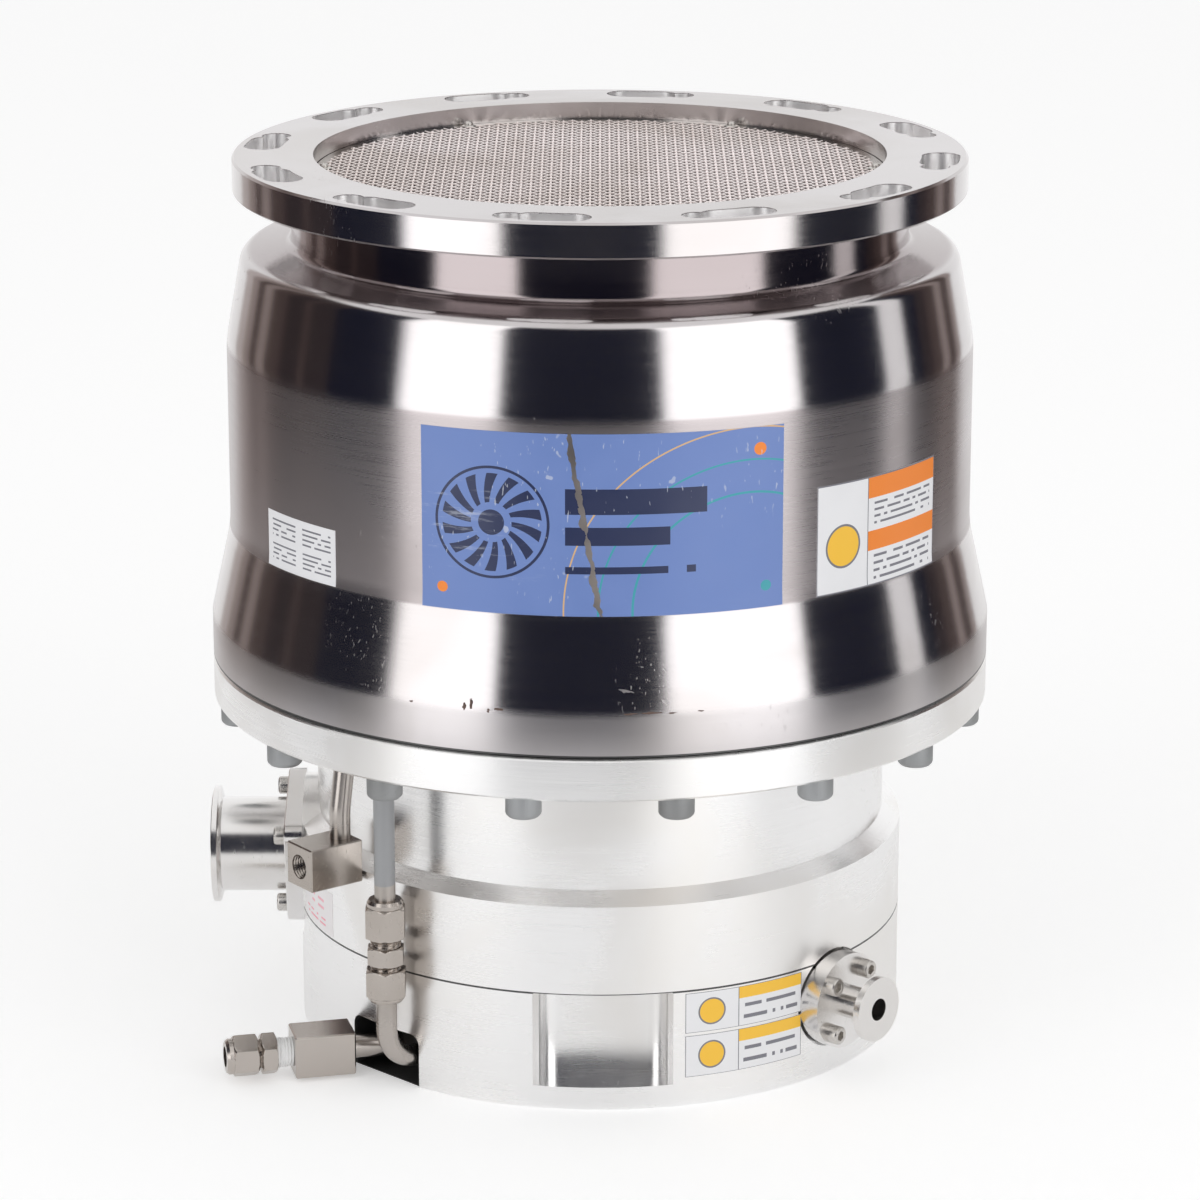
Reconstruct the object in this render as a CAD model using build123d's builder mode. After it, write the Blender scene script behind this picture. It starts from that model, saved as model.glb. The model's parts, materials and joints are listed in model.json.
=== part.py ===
"""Turbomolecular pump with a magnetically levitated rotor, upright on its base, in millimetres.

The origin is the centre of the base's underside, on the rotor axis. +Z points up through the
inlet, the front is -Y and the outlet points along -X. Angles called bearings are measured at
the axis from the front (-Y) towards the outlet side (-X).
"""

from math import cos, radians, sin, sqrt, tan

import os

from build123d import *

os.makedirs("parts", exist_ok=True)

# Heights of the joints between the main castings
seam_z = 54.8  # lower ring to base housing
neck_foot_z = 101.8
base_flange_z = 158.7  # underside of the base flange
joint_z = 178.9  # base housing to inlet casing
flange_t = 16.0  # inlet flange, DN 250 ISO-F
inlet_z = 411.0  # inlet sealing face

# Inlet flange
flange_d = 335.0
bolt_circle_d = 310.0
flange_bolts = 12
bolt_hole_d = 13.5
keyhole_w = 17.5  # wide end of each keyhole
keyhole_near, keyhole_far = 3.9, 10.1  # its two centres, degrees round from the bolt hole
bolt_bearing = 14.6
inlet_bore_d = 261.0
flange_chamfer = 1.0

# Inlet casing
screen_drop = 8.0  # sealing face down to the screen
screen_t = 0.8
duct_d = 250.0
neck_d = 282.0
band_d = 361.4
flare_w, cone_w, shoulder_w = 9.2, 7.5, 17.0  # radial steps from the band up to the neck
body_d = band_d - 2 * flare_w
shoulder_d = body_d - 2 * cone_w
shoulder_in_d = shoulder_d - 2 * shoulder_w
neck_low_z, shoulder_in_z, shoulder_z = 381.0, 375.8, 367.6
body_top_z, flare_top_z, band_top_z = 327.0, 240.0, 198.5
casing_wall = 10.5
casing_bore_d = body_d - 2 * casing_wall
casing_bore_top = 354.0

# Base housing and lower ring
drum_d = 283.4
neck_step, drum_chamfer = 8.5, 5.3
base_neck_d = drum_d - 2 * neck_step
base_wall, ring_wall, ledge_w = 17.7, 23.7, 6.0
base_bore_d = drum_d - 2 * base_wall
spigot_d, spigot_h = drum_d - 2 * ring_wall, 6.0
floor_t = 10.0
cable_hole_d = 50.0
ring_bore_d = spigot_d - 2 * ledge_w
cover_d, cover_t, cover_drop = ring_bore_d + 2 * ledge_w, 8.0, 2.0
fit = 0.1  # radial room where one turned piece locates in another
bolt_edge = 9.7  # band rim to the centres of the joint screws
joint_bolts, joint_bolt_circle_d = 16, band_d - 2 * bolt_edge
joint_bolt_d, joint_head_d, joint_head_h, joint_thread = 10.0, 16.0, 10.0, 14.0
foot_inset = 11.7  # drum rim to the centres of the feet holes
foot_hole_d, foot_hole_depth, foot_circle_d, foot_bearing = 8.5, 18.0, drum_d - 2 * foot_inset, -20.0

# Front pocket and pipe opening of the lower ring
pocket_x, pocket_w, pocket_flare, pocket_depth, pocket_floor = 1.5, 58.0, 4.2, 22.0, 10.6
pocket_corner = 8.6
opening_bearing, opening_w, opening_h, opening_depth, opening_corner = 44.3, 43.0, 25.0, 20.0, 5.0

# Turbine: five rotor rows and four stator rows between them
rotor_heights = (14.0, 12.0, 11.0, 10.0, 9.0)
stator_heights = (11.0, 10.0, 9.0, 8.0)
rotor_angles = (42.0, 38.0, 34.0, 30.0, 26.0)
stator_angles = (40.0, 36.0, 32.0, 28.0)
row_gap = 2.0
hub_top_z = casing_bore_top
rotor_top_z = hub_top_z - 4.0
blades, stator_blades = 24, 24
blade_t = 2.2
tip_gap, spacer_room, spacer_wall = 1.2, 0.3, 10.0
hub_top_d, hub_bore_d, cap_t = 156.0, 150.0, 24.0
drag_wall = 10.0
skirt_d, skirt_wall, skirt_top_z, skirt_low_z = base_bore_d - 2 * drag_wall, 7.0, 236.0, 112.0
drag_gap, drag_low_z, drag_flange_d, drag_flange_t = 0.5, 104.0, 300.0, 5.0
grooves, groove_w, groove_depth, groove_angle = 20, 14.0, 5.0, 70.0
stator_rim_t, stator_rim_w, stator_hub_w, stator_room = 3.0, 11.0, 4.0, 1.0

# Shaft, bearings and motor
column_gap = 4.0  # column to the underside of the rotor's cap
column_d, column_wall, column_top_z = 110.0, 11.0, hub_top_z - cap_t - column_gap
column_foot_d, column_foot_t = 190.0, 11.5
shaft_d = 36.0
shaft_flange_d, shaft_flange_t = 68.0, 8.0
shaft_low_z = 82.0
centring_d, centring_h = 28.0, 12.0
journal_d = 54.0
air_gap = 0.5
upper_bearing_z, lower_bearing_z, bearing_h = column_top_z - 46.0, 158.0, 20.0
motor_z, motor_h, magnet_d = 204.0, 40.0, 56.0
yoke_w, bearing_poles, bearing_pole_w, motor_poles, motor_pole_w = 6.0, 8, 9.0, 6, 12.0
coil_t, coil_over = 3.5, 5.0
upper_touch_z, lower_touch_z, touch_h, touch_gap = column_top_z - 12.0, 134.0, 10.0, 0.4
thrust_z, thrust_t, thrust_d = 112.0, 6.0, 76.0
axial_h, axial_bore_d = 12.0, 44.0
rotor_bolt_circle_d, rotor_bolt_n, rotor_bolt_d, rotor_head_d, rotor_head_h = 50.0, 6, 8.0, 13.0, 8.0
column_screw_circle_d, column_screw_d, column_head_d, column_head_h = 170.0, 8.0, 13.0, 8.0

# Ports
outlet_z, outlet_plate, outlet_plate_t, outlet_turn = 78.0, 55.0, 8.5, 18.0
outlet_sink, purge_sink, socket_sink = 2.2, 5.2, 4.7  # how far the seats lie inside the drum
outlet_seat = drum_d / 2 - outlet_sink
outlet_boss_d, outlet_recess_d = 68.0, 84.0
kf40_d, kf40_bore_d, kf40_tube_d, kf40_rim, kf40_reach = 55.0, 41.2, 44.5, 3.0, 35.0
kf_taper = 15.0
purge_bearing, purge_z, purge_seat = -49.0, 36.0, drum_d / 2 - purge_sink
purge_flange_d, purge_flange_t, purge_pipe_d = 44.6, 13.5, 15.0
kf10_d, kf10_bore_d, kf10_rim, kf10_reach = 30.0, 10.4, 3.2, 18.0
socket_z, socket_seat = 32.0, drum_d / 2 - socket_sink
socket_flange, socket_shell_d, socket_reach = 42.0, 30.0, 26.0

plate_corner = 6.0
purge_screw_circle_d, purge_screw_angle = 34.0, 50.0
socket_flange_t, socket_screw_pitch, socket_screw_d = 4.0, 34.0, 3.0
socket_insert_l, socket_pin_circle_d, socket_pin_d, socket_pin_l = 10.0, 14.0, 2.5, 8.0

# Seals and screws
seal_inset = 2.5  # casing bore to the middle of the seal
seal_mid_d, seal_w, seal_h = casing_bore_d + 2 * seal_inset, 3.0, 2.4
port_seal_w, port_seal_h = 2.5, 2.0
outlet_seal_d, purge_seal_d = 46.5, 20.0
boss_room = 0.3  # round the outlet boss, in the lower ring
port_screw_d, port_head_d, port_head_h = 5.0, 8.5, 5.0
port_key, port_key_depth = 4.0, 2.5
outlet_screw_circle_d, outlet_thread = 58.0, 8.0
ring_screw_inset, ring_screw_thread = 7.7, 10.0
ring_screw_circle_d, ring_screw_bearing = drum_d - 2 * ring_screw_inset, 24.0
ring_screw_d, ring_head_d, ring_head_z = 6.0, 10.0, 30.0
cover_screw_circle_d, cover_screw_d = cover_d - 8.0, 5.0

# Cooling water line
tube_d = 9.5
inlet_tube_d, inlet_run = 11.0, 19.0
tube_bore = 1.2  # wall
block_l, block_w = 28.0, 20.0
thread_d, thread_depth = 11.4, 13.0
pipe_set, pipe_set_low, pipe_set_high, pipe_set_r = 3.0, 12.0, 34.0, 40.0  # step in the outlet pipe
hex_turn = 20.0
hose_neck_d, hose_neck_l = 14.0, 7.0
block1_room, return_room = 0.7, 12.8  # drum to the outlet block, and to the return pipe's axis
block1_bearing, block1_r, block1_z = 53.0, drum_d / 2 + block1_room, 92.0
return_bearing, return_r = 38.7, drum_d / 2 + return_room
union_low_z, nut_h, union_h, nut_low_h = 44.7, 20.5, 12.5, 15.5
union_af, nut_af = 16.0, 17.5
elbow_z, elbow_r = 13.5, 18.0
block2_x, block2_y, block2_z, block2_turn = -127.5, -97.3, 2.0, 13.4
hose_thread_l, hose_hex_l, hose_nut_l = 7.5, 7.5, 15.0


def facing(bearing, distance, z):
    """Plane square to the ray at this bearing: local Z points outwards, local Y up."""
    a = radians(bearing)
    out = Vector(-sin(a), -cos(a), 0)
    across = Vector(cos(a), -sin(a), 0)
    return Plane(origin=out * distance + Vector(0, 0, z), x_dir=across, z_dir=out)


def polar(bearing):
    """The angle from +X that belongs to a bearing."""
    return -90 - bearing


def turned(points):
    """Solid of revolution about Z from (radius, height) points."""
    with BuildPart() as body:
        with BuildSketch(Plane.XZ):
            with BuildLine():
                Polyline(*points, close=True)
            make_face()
        revolve(axis=Axis.Z)
    return body


def sleeve(outer_r, inner_r, low, high):
    """Plain ring about Z."""
    return turned([(inner_r, low), (outer_r, low), (outer_r, high), (inner_r, high)])


def vane(root_r, tip_r, z, height, angle, thickness):
    """One straight blade: flat top and bottom, leaning by its angle, pointing along +X."""
    lean, half = height / tan(radians(angle)) / 2, thickness / sin(radians(angle)) / 2
    with BuildPart() as blade:
        with BuildSketch(Plane(origin=(root_r, 0, z), x_dir=(0, 1, 0), z_dir=(1, 0, 0))):
            with BuildLine():
                Polyline(
                    (-lean - half, 0), (-lean + half, 0),
                    (lean + half, height), (lean - half, height), close=True,
                )
            make_face()
        extrude(amount=tip_r - root_r)
    return blade.part


def save(body, name):
    """Label a finished piece and write it out."""
    body.part.label = name
    export_step(body.part, f"parts/{name}.step")


# ---------------------------------------------------------------- inlet casing
screen_z = inlet_z - screen_drop
under_flange_z = inlet_z - flange_t
flange_r, band_r, body_r, neck_r = flange_d / 2, band_d / 2, body_d / 2, neck_d / 2

with BuildPart() as inlet_casing:
    with BuildSketch(Plane.XZ):
        with BuildLine():
            Polyline(
                (inlet_bore_d / 2, inlet_z),
                (flange_r - flange_chamfer, inlet_z),
                (flange_r, inlet_z - flange_chamfer),
                (flange_r, under_flange_z + flange_chamfer),
                (flange_r - flange_chamfer, under_flange_z),
                (neck_r, under_flange_z),
                (neck_r, neck_low_z),
            )
            RadiusArc((neck_r, neck_low_z), (shoulder_in_d / 2, shoulder_in_z), 7)
            Polyline(
                (shoulder_in_d / 2, shoulder_in_z),
                (shoulder_d / 2, shoulder_z),
                (body_r, body_top_z),
                (body_r, flare_top_z),
                (band_r, band_top_z),
                (band_r, joint_z),
                (casing_bore_d / 2, joint_z),
                (casing_bore_d / 2, casing_bore_top),
                (duct_d / 2, casing_bore_top + 12),
                (duct_d / 2, screen_z - screen_t),
                (inlet_bore_d / 2, screen_z - screen_t),
                (inlet_bore_d / 2, inlet_z),
            )
        make_face()
    revolve(axis=Axis.Z)
    with BuildSketch(Plane.XY.offset(inlet_z)):
        for k in range(flange_bolts):
            hole_angle = polar(bolt_bearing) + k * 360 / flange_bolts
            with PolarLocations(bolt_circle_d / 2, 1, hole_angle):
                Circle(bolt_hole_d / 2)
            with BuildLine(mode=Mode.PRIVATE):
                middle = CenterArc(
                    (0, 0), bolt_circle_d / 2, hole_angle + keyhole_near, keyhole_far - keyhole_near
                )
            SlotArc(middle, keyhole_w)
    extrude(amount=-flange_t, mode=Mode.SUBTRACT)
    with BuildSketch(Plane.XY.offset(joint_z)):
        with PolarLocations(joint_bolt_circle_d / 2, joint_bolts, 360 / joint_bolts / 2):
            Circle(joint_bolt_d / 2)
    extrude(amount=joint_thread, mode=Mode.SUBTRACT)
save(inlet_casing, "inlet_casing")

# ---------------------------------------------------------------- inlet screen
screen_r = inlet_bore_d / 2 - 0.3
screen_frame_w, screen_pitch, screen_wire = 5.0, 20.0, 2.0
with BuildPart() as inlet_screen:
    with BuildSketch(Plane.XY.offset(screen_z - screen_t)):
        Circle(screen_r)
        with BuildSketch(mode=Mode.SUBTRACT):
            with GridLocations(screen_pitch, screen_pitch, 13, 13):
                Rectangle(screen_pitch - screen_wire, screen_pitch - screen_wire)
            Circle(screen_r - screen_frame_w, mode=Mode.INTERSECT)
    extrude(amount=screen_t)
save(inlet_screen, "inlet_screen")

# Screws with dished washers that hold the screen to its ledge
clip_r, clip_d, clip_h = duct_d / 2 + 1.4, 5.2, 2.4
with BuildPart() as screen_screws:
    with BuildSketch(Plane.XY.offset(screen_z)):
        with PolarLocations(clip_r - 0.6, 6, polar(30)):
            Circle(clip_d / 2)
    extrude(amount=clip_h)
save(screen_screws, "screen_screws")

# ---------------------------------------------------------------- base housing
drum_r, base_neck_r, base_bore_r = drum_d / 2, base_neck_d / 2, base_bore_d / 2
floor_low_z = seam_z - spigot_h
outlet_seat_plane = facing(90, outlet_seat, outlet_z)
purge_seat_plane = facing(purge_bearing, purge_seat, purge_z)
socket_plane = facing(180, socket_seat, socket_z)
with BuildPart() as base_housing:
    with BuildSketch(Plane.XZ):
        with BuildLine():
            Polyline(
                (cable_hole_d / 2, floor_low_z),
                (spigot_d / 2, floor_low_z),
                (spigot_d / 2, seam_z),
                (drum_r, seam_z),
                (drum_r, neck_foot_z - drum_chamfer),
                (base_neck_r, neck_foot_z),
                (base_neck_r, base_flange_z),
                (band_r - flange_chamfer, base_flange_z),
                (band_r, base_flange_z + flange_chamfer),
                (band_r, joint_z - 2),
                (band_r - 2, joint_z),
                (base_bore_r, joint_z),
                (base_bore_r, floor_low_z + floor_t),
                (cable_hole_d / 2, floor_low_z + floor_t),
                close=True,
            )
        make_face()
    revolve(axis=Axis.Z)
    # Boss that carries the outlet
    with BuildSketch(facing(90, base_bore_r + 3, outlet_z)):
        Circle(outlet_boss_d / 2)
    extrude(amount=outlet_seat - base_bore_r - 3)
    with BuildSketch(outlet_seat_plane):
        Circle(outlet_recess_d / 2)
    extrude(amount=20, mode=Mode.SUBTRACT)
    with BuildSketch(outlet_seat_plane):
        Circle(kf40_bore_d / 2)
    extrude(amount=-(outlet_seat - base_bore_r + 10), mode=Mode.SUBTRACT)
    with BuildSketch(outlet_seat_plane):
        with PolarLocations(outlet_screw_circle_d / 2, 4, 45 + outlet_turn):
            Circle(port_screw_d / 2)
    extrude(amount=-outlet_thread, mode=Mode.SUBTRACT)
    # Groove for the casing seal
    with BuildSketch(Plane.XY.offset(joint_z)):
        Circle(seal_mid_d / 2 + seal_w / 2)
        Circle(seal_mid_d / 2 - seal_w / 2, mode=Mode.SUBTRACT)
    extrude(amount=-seal_h, mode=Mode.SUBTRACT)
    # Clear of the purge flange
    with BuildSketch(purge_seat_plane):
        Circle(purge_flange_d / 2 + 1)
    extrude(amount=20, mode=Mode.SUBTRACT)
    with BuildSketch(Plane.XY.offset(base_flange_z)):
        with PolarLocations(joint_bolt_circle_d / 2, joint_bolts, 360 / joint_bolts / 2):
            Circle(joint_bolt_d / 2)
    extrude(amount=joint_z - base_flange_z, mode=Mode.SUBTRACT)
    with BuildSketch(Plane.XY.offset(seam_z)):
        with PolarLocations(ring_screw_circle_d / 2, 4, polar(ring_screw_bearing)):
            Circle(ring_screw_d / 2)
    extrude(amount=ring_screw_thread, mode=Mode.SUBTRACT)
save(base_housing, "base_housing")

with BuildPart() as joint_screws:
    with BuildSketch(Plane.XY.offset(base_flange_z)):
        with PolarLocations(joint_bolt_circle_d / 2, joint_bolts, 360 / joint_bolts / 2):
            Circle(joint_head_d / 2)
    extrude(amount=-joint_head_h)
    with BuildSketch(Plane.XY.offset(base_flange_z)):
        with PolarLocations(joint_bolt_circle_d / 2, joint_bolts, 360 / joint_bolts / 2):
            Circle(joint_bolt_d / 2)
    extrude(amount=joint_z - base_flange_z + joint_thread - 1)
save(joint_screws, "joint_screws")


# Square-section seals, pressed flat in their grooves, are plain rings here
casing_seal = sleeve(seal_mid_d / 2 + seal_w / 2, seal_mid_d / 2 - seal_w / 2, joint_z - seal_h, joint_z)
save(casing_seal, "casing_seal")

# ---------------------------------------------------------------- lower ring and cover
ring_bore_r, cover_r = ring_bore_d / 2, cover_d / 2
cover_top_z = cover_drop + cover_t
with BuildPart() as lower_ring:
    with BuildSketch(Plane.XZ):
        with BuildLine():
            Polyline(
                (cover_r, 0),
                (drum_r, 0),
                (drum_r, seam_z),
                (spigot_d / 2 + fit, seam_z),
                (spigot_d / 2 + fit, floor_low_z),
                (ring_bore_r, floor_low_z),
                (ring_bore_r, cover_top_z),
                (cover_r, cover_top_z),
                close=True,
            )
        make_face()
    revolve(axis=Axis.Z)
    # Front pocket, open upwards to the seam
    back_y, mouth_y = -(drum_r - pocket_depth), -drum_r - 4
    half = pocket_w / 2
    with BuildSketch(Plane.XY.offset(pocket_floor)):
        with Locations((pocket_x, (back_y + mouth_y) / 2)):
            Rectangle(pocket_w, back_y - mouth_y)
        fillet(vertices().group_by(Axis.Y)[-1], pocket_corner)
        with BuildLine():
            Polyline(
                (pocket_x - half, -drum_r + 8),
                (pocket_x - half - pocket_flare - 3, mouth_y),
                (pocket_x + half + pocket_flare + 3, mouth_y),
                (pocket_x + half, -drum_r + 8),
                close=True,
            )
        make_face()
    extrude(amount=seam_z - pocket_floor, mode=Mode.SUBTRACT)
    # Opening at the floor where the water pipes go in
    with BuildSketch(facing(opening_bearing, drum_r - opening_depth, 0)):
        with Locations((0, opening_h / 2)):
            Rectangle(opening_w, opening_h)
        fillet(vertices().group_by(Axis.Y)[-1], opening_corner)
    extrude(amount=opening_depth + 10, mode=Mode.SUBTRACT)
    # Seats of the outlet plate, the purge flange and the power socket
    with BuildSketch(outlet_seat_plane):
        Circle(outlet_recess_d / 2)
    extrude(amount=20, mode=Mode.SUBTRACT)
    with BuildSketch(outlet_seat_plane):
        Circle(outlet_boss_d / 2 + boss_room)
    extrude(amount=-(outlet_seat - spigot_d / 2 + 2), mode=Mode.SUBTRACT)
    with BuildSketch(purge_seat_plane):
        Circle(purge_flange_d / 2 + 1)
    extrude(amount=20, mode=Mode.SUBTRACT)
    with BuildSketch(purge_seat_plane):
        Circle(kf10_bore_d / 2)
    extrude(amount=-(purge_seat - ring_bore_r + 6), mode=Mode.SUBTRACT)
    with BuildSketch(socket_plane):
        Rectangle(socket_flange + 2, 2 * socket_z)
    extrude(amount=20, mode=Mode.SUBTRACT)
    with BuildSketch(socket_plane):
        Circle(socket_shell_d / 2 - 3)
    extrude(amount=-(socket_seat - ring_bore_r + 6), mode=Mode.SUBTRACT)
    # Tapped feet holes, and the counterbored screws that hold the ring to the housing
    with BuildSketch(Plane.XY):
        with PolarLocations(foot_circle_d / 2, 4, polar(foot_bearing)):
            Circle(foot_hole_d / 2)
    extrude(amount=foot_hole_depth, mode=Mode.SUBTRACT)
    with BuildSketch(Plane.XY):
        with PolarLocations(ring_screw_circle_d / 2, 4, polar(ring_screw_bearing)):
            Circle(ring_head_d / 2 + fit)
    extrude(amount=ring_head_z, mode=Mode.SUBTRACT)
    with BuildSketch(Plane.XY):
        with PolarLocations(ring_screw_circle_d / 2, 4, polar(ring_screw_bearing)):
            Circle(ring_screw_d / 2)
    extrude(amount=seam_z, mode=Mode.SUBTRACT)
save(lower_ring, "lower_ring")

with BuildPart() as lower_ring_screws:
    with BuildSketch(Plane.XY.offset(ring_head_z)):
        with PolarLocations(ring_screw_circle_d / 2, 4, polar(ring_screw_bearing)):
            Circle(ring_head_d / 2)
    extrude(amount=-ring_screw_d)
    with BuildSketch(Plane.XY.offset(ring_head_z)):
        with PolarLocations(ring_screw_circle_d / 2, 4, polar(ring_screw_bearing)):
            Circle(ring_screw_d / 2)
    extrude(amount=seam_z - ring_head_z + ring_screw_thread - 1)
save(lower_ring_screws, "lower_ring_screws")

with BuildPart() as bottom_cover:
    with BuildSketch(Plane.XY.offset(cover_drop)):
        Circle(cover_r - fit)
    extrude(amount=cover_t)
    with BuildSketch(Plane.XY.offset(cover_drop)):
        with PolarLocations(cover_screw_circle_d / 2, 6):
            Circle(cover_screw_d / 2)
    extrude(amount=cover_t, mode=Mode.SUBTRACT)
save(bottom_cover, "bottom_cover")

with BuildPart() as cover_screws:
    with BuildSketch(Plane.XY.offset(cover_drop)):
        with PolarLocations(cover_screw_circle_d / 2, 6):
            Circle(cover_screw_d / 2)
    extrude(amount=cover_t)
save(cover_screws, "cover_screws")

# ---------------------------------------------------------------- outlet port
plate_face = outlet_seat + outlet_plate_t
flange_face = plate_face + kf40_reach
rim_back = flange_face - kf40_rim
with BuildPart() as outlet_port:
    with BuildSketch(outlet_seat_plane):
        with Locations(Location((0, 0, 0), (0, 0, outlet_turn))):
            RectangleRounded(outlet_plate, outlet_plate, plate_corner)
    extrude(amount=outlet_plate_t)
    with BuildSketch(facing(90, plate_face, outlet_z)):
        Circle(kf40_tube_d / 2)
    extrude(amount=kf40_reach)
    # Sealing rim with the tapered back that a clamp closes on
    taper_l = (kf40_d - kf40_tube_d) / 2 * tan(radians(kf_taper))
    with BuildSketch(facing(90, rim_back, outlet_z)) as rim_sketch:
        Circle(kf40_d / 2)
    extrude(amount=kf40_rim)
    with BuildSketch(facing(90, rim_back - taper_l, outlet_z)):
        Circle(kf40_tube_d / 2)
    with BuildSketch(facing(90, rim_back, outlet_z)):
        Circle(kf40_d / 2)
    loft()
    with BuildSketch(outlet_seat_plane):
        Circle(kf40_bore_d / 2)
    extrude(amount=flange_face - outlet_seat, mode=Mode.SUBTRACT)
    with BuildSketch(outlet_seat_plane):
        with PolarLocations(outlet_screw_circle_d / 2, 4, 45 + outlet_turn):
            Circle(port_screw_d / 2)
    extrude(amount=outlet_plate_t, mode=Mode.SUBTRACT)
    with BuildSketch(outlet_seat_plane):
        Circle((outlet_seal_d + port_seal_w) / 2)
        Circle((outlet_seal_d - port_seal_w) / 2, mode=Mode.SUBTRACT)
    extrude(amount=port_seal_h, mode=Mode.SUBTRACT)
save(outlet_port, "outlet_port")

with BuildPart() as outlet_seal:
    with BuildSketch(outlet_seat_plane):
        Circle((outlet_seal_d + port_seal_w) / 2)
        Circle((outlet_seal_d - port_seal_w) / 2, mode=Mode.SUBTRACT)
    extrude(amount=port_seal_h)
save(outlet_seal, "outlet_seal")

with BuildPart() as outlet_screws:
    with BuildSketch(facing(90, plate_face, outlet_z)):
        with PolarLocations(outlet_screw_circle_d / 2, 4, 45 + outlet_turn):
            Circle(port_head_d / 2)
    extrude(amount=port_head_h)
    with BuildSketch(facing(90, plate_face, outlet_z)):
        with PolarLocations(outlet_screw_circle_d / 2, 4, 45 + outlet_turn):
            Circle(port_screw_d / 2)
    extrude(amount=-(outlet_plate_t + outlet_thread - 1))
    with BuildSketch(facing(90, plate_face + port_head_h, outlet_z)):
        with PolarLocations(outlet_screw_circle_d / 2, 4, 45 + outlet_turn):
            RegularPolygon(port_key / 2, 6, major_radius=False)
    extrude(amount=-port_key_depth, mode=Mode.SUBTRACT)
save(outlet_screws, "outlet_screws")

# ---------------------------------------------------------------- purge port
purge_face = purge_seat + purge_flange_t
purge_end = purge_face + kf10_reach
with BuildPart() as purge_port:
    with BuildSketch(purge_seat_plane):
        Circle(purge_flange_d / 2)
    extrude(amount=purge_flange_t)
    with BuildSketch(facing(purge_bearing, purge_face, purge_z)):
        Circle(purge_pipe_d / 2)
    extrude(amount=kf10_reach)
    with BuildSketch(facing(purge_bearing, purge_end - kf10_rim, purge_z)):
        Circle(kf10_d / 2)
    extrude(amount=kf10_rim)
    purge_taper = (kf10_d - purge_pipe_d) / 2 * tan(radians(kf_taper))
    with BuildSketch(facing(purge_bearing, purge_end - kf10_rim - purge_taper, purge_z)):
        Circle(purge_pipe_d / 2)
    with BuildSketch(facing(purge_bearing, purge_end - kf10_rim, purge_z)):
        Circle(kf10_d / 2)
    loft()
    with BuildSketch(purge_seat_plane):
        Circle(kf10_bore_d / 2)
    extrude(amount=purge_end - purge_seat, mode=Mode.SUBTRACT)
    with BuildSketch(purge_seat_plane):
        with PolarLocations(purge_screw_circle_d / 2, 4, purge_screw_angle):
            Circle(port_screw_d / 2)
    extrude(amount=purge_flange_t, mode=Mode.SUBTRACT)
    with BuildSketch(purge_seat_plane):
        Circle((purge_seal_d + port_seal_w) / 2)
        Circle((purge_seal_d - port_seal_w) / 2, mode=Mode.SUBTRACT)
    extrude(amount=port_seal_h, mode=Mode.SUBTRACT)
save(purge_port, "purge_port")

with BuildPart() as purge_seal:
    with BuildSketch(purge_seat_plane):
        Circle((purge_seal_d + port_seal_w) / 2)
        Circle((purge_seal_d - port_seal_w) / 2, mode=Mode.SUBTRACT)
    extrude(amount=port_seal_h)
save(purge_seal, "purge_seal")

with BuildPart() as purge_screws:
    with BuildSketch(facing(purge_bearing, purge_face, purge_z)):
        with PolarLocations(purge_screw_circle_d / 2, 4, purge_screw_angle):
            Circle(port_head_d / 2)
    extrude(amount=port_head_h)
    with BuildSketch(purge_seat_plane):
        with PolarLocations(purge_screw_circle_d / 2, 4, purge_screw_angle):
            Circle(port_screw_d / 2)
    extrude(amount=purge_flange_t)
    with BuildSketch(facing(purge_bearing, purge_face + port_head_h, purge_z)):
        with PolarLocations(purge_screw_circle_d / 2, 4, purge_screw_angle):
            RegularPolygon(port_key / 2, 6, major_radius=False)
    extrude(amount=-port_key_depth, mode=Mode.SUBTRACT)
save(purge_screws, "purge_screws")

# ---------------------------------------------------------------- power socket, at the back
socket_face = socket_seat + socket_flange_t
with BuildPart() as power_socket:
    with BuildSketch(socket_plane):
        RectangleRounded(socket_flange, socket_flange, 4)
    extrude(amount=socket_flange_t)
    with BuildSketch(facing(180, socket_face, socket_z)):
        Circle(socket_shell_d / 2)
    extrude(amount=socket_reach)
    with BuildSketch(facing(180, socket_face + socket_reach, socket_z)):
        Circle(socket_shell_d / 2 - 2)
    extrude(amount=-(socket_reach - 2), mode=Mode.SUBTRACT)
    with BuildSketch(facing(180, socket_face, socket_z)):
        with GridLocations(socket_screw_pitch, socket_screw_pitch, 2, 2):
            Circle(socket_screw_d / 2)
    extrude(amount=-socket_flange_t, mode=Mode.SUBTRACT)
save(power_socket, "power_socket")

with BuildPart() as socket_insert:
    with BuildSketch(facing(180, socket_face + 2, socket_z)):
        Circle(socket_shell_d / 2 - 2)
    extrude(amount=socket_insert_l)
    with BuildSketch(facing(180, socket_face + 2 + socket_insert_l, socket_z)):
        with PolarLocations(socket_pin_circle_d / 2, 6):
            Circle(socket_pin_d / 2)
        Circle(socket_pin_d / 2)
    extrude(amount=socket_pin_l)
save(socket_insert, "socket_insert")

with BuildPart() as socket_screws:
    with BuildSketch(facing(180, socket_face, socket_z)):
        with GridLocations(socket_screw_pitch, socket_screw_pitch, 2, 2):
            Circle(socket_screw_d)
    extrude(amount=socket_screw_d * 0.6)
    with BuildSketch(facing(180, socket_face, socket_z)):
        with GridLocations(socket_screw_pitch, socket_screw_pitch, 2, 2):
            Circle(socket_screw_d / 2)
    extrude(amount=-socket_flange_t)
save(socket_screws, "socket_screws")

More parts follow.
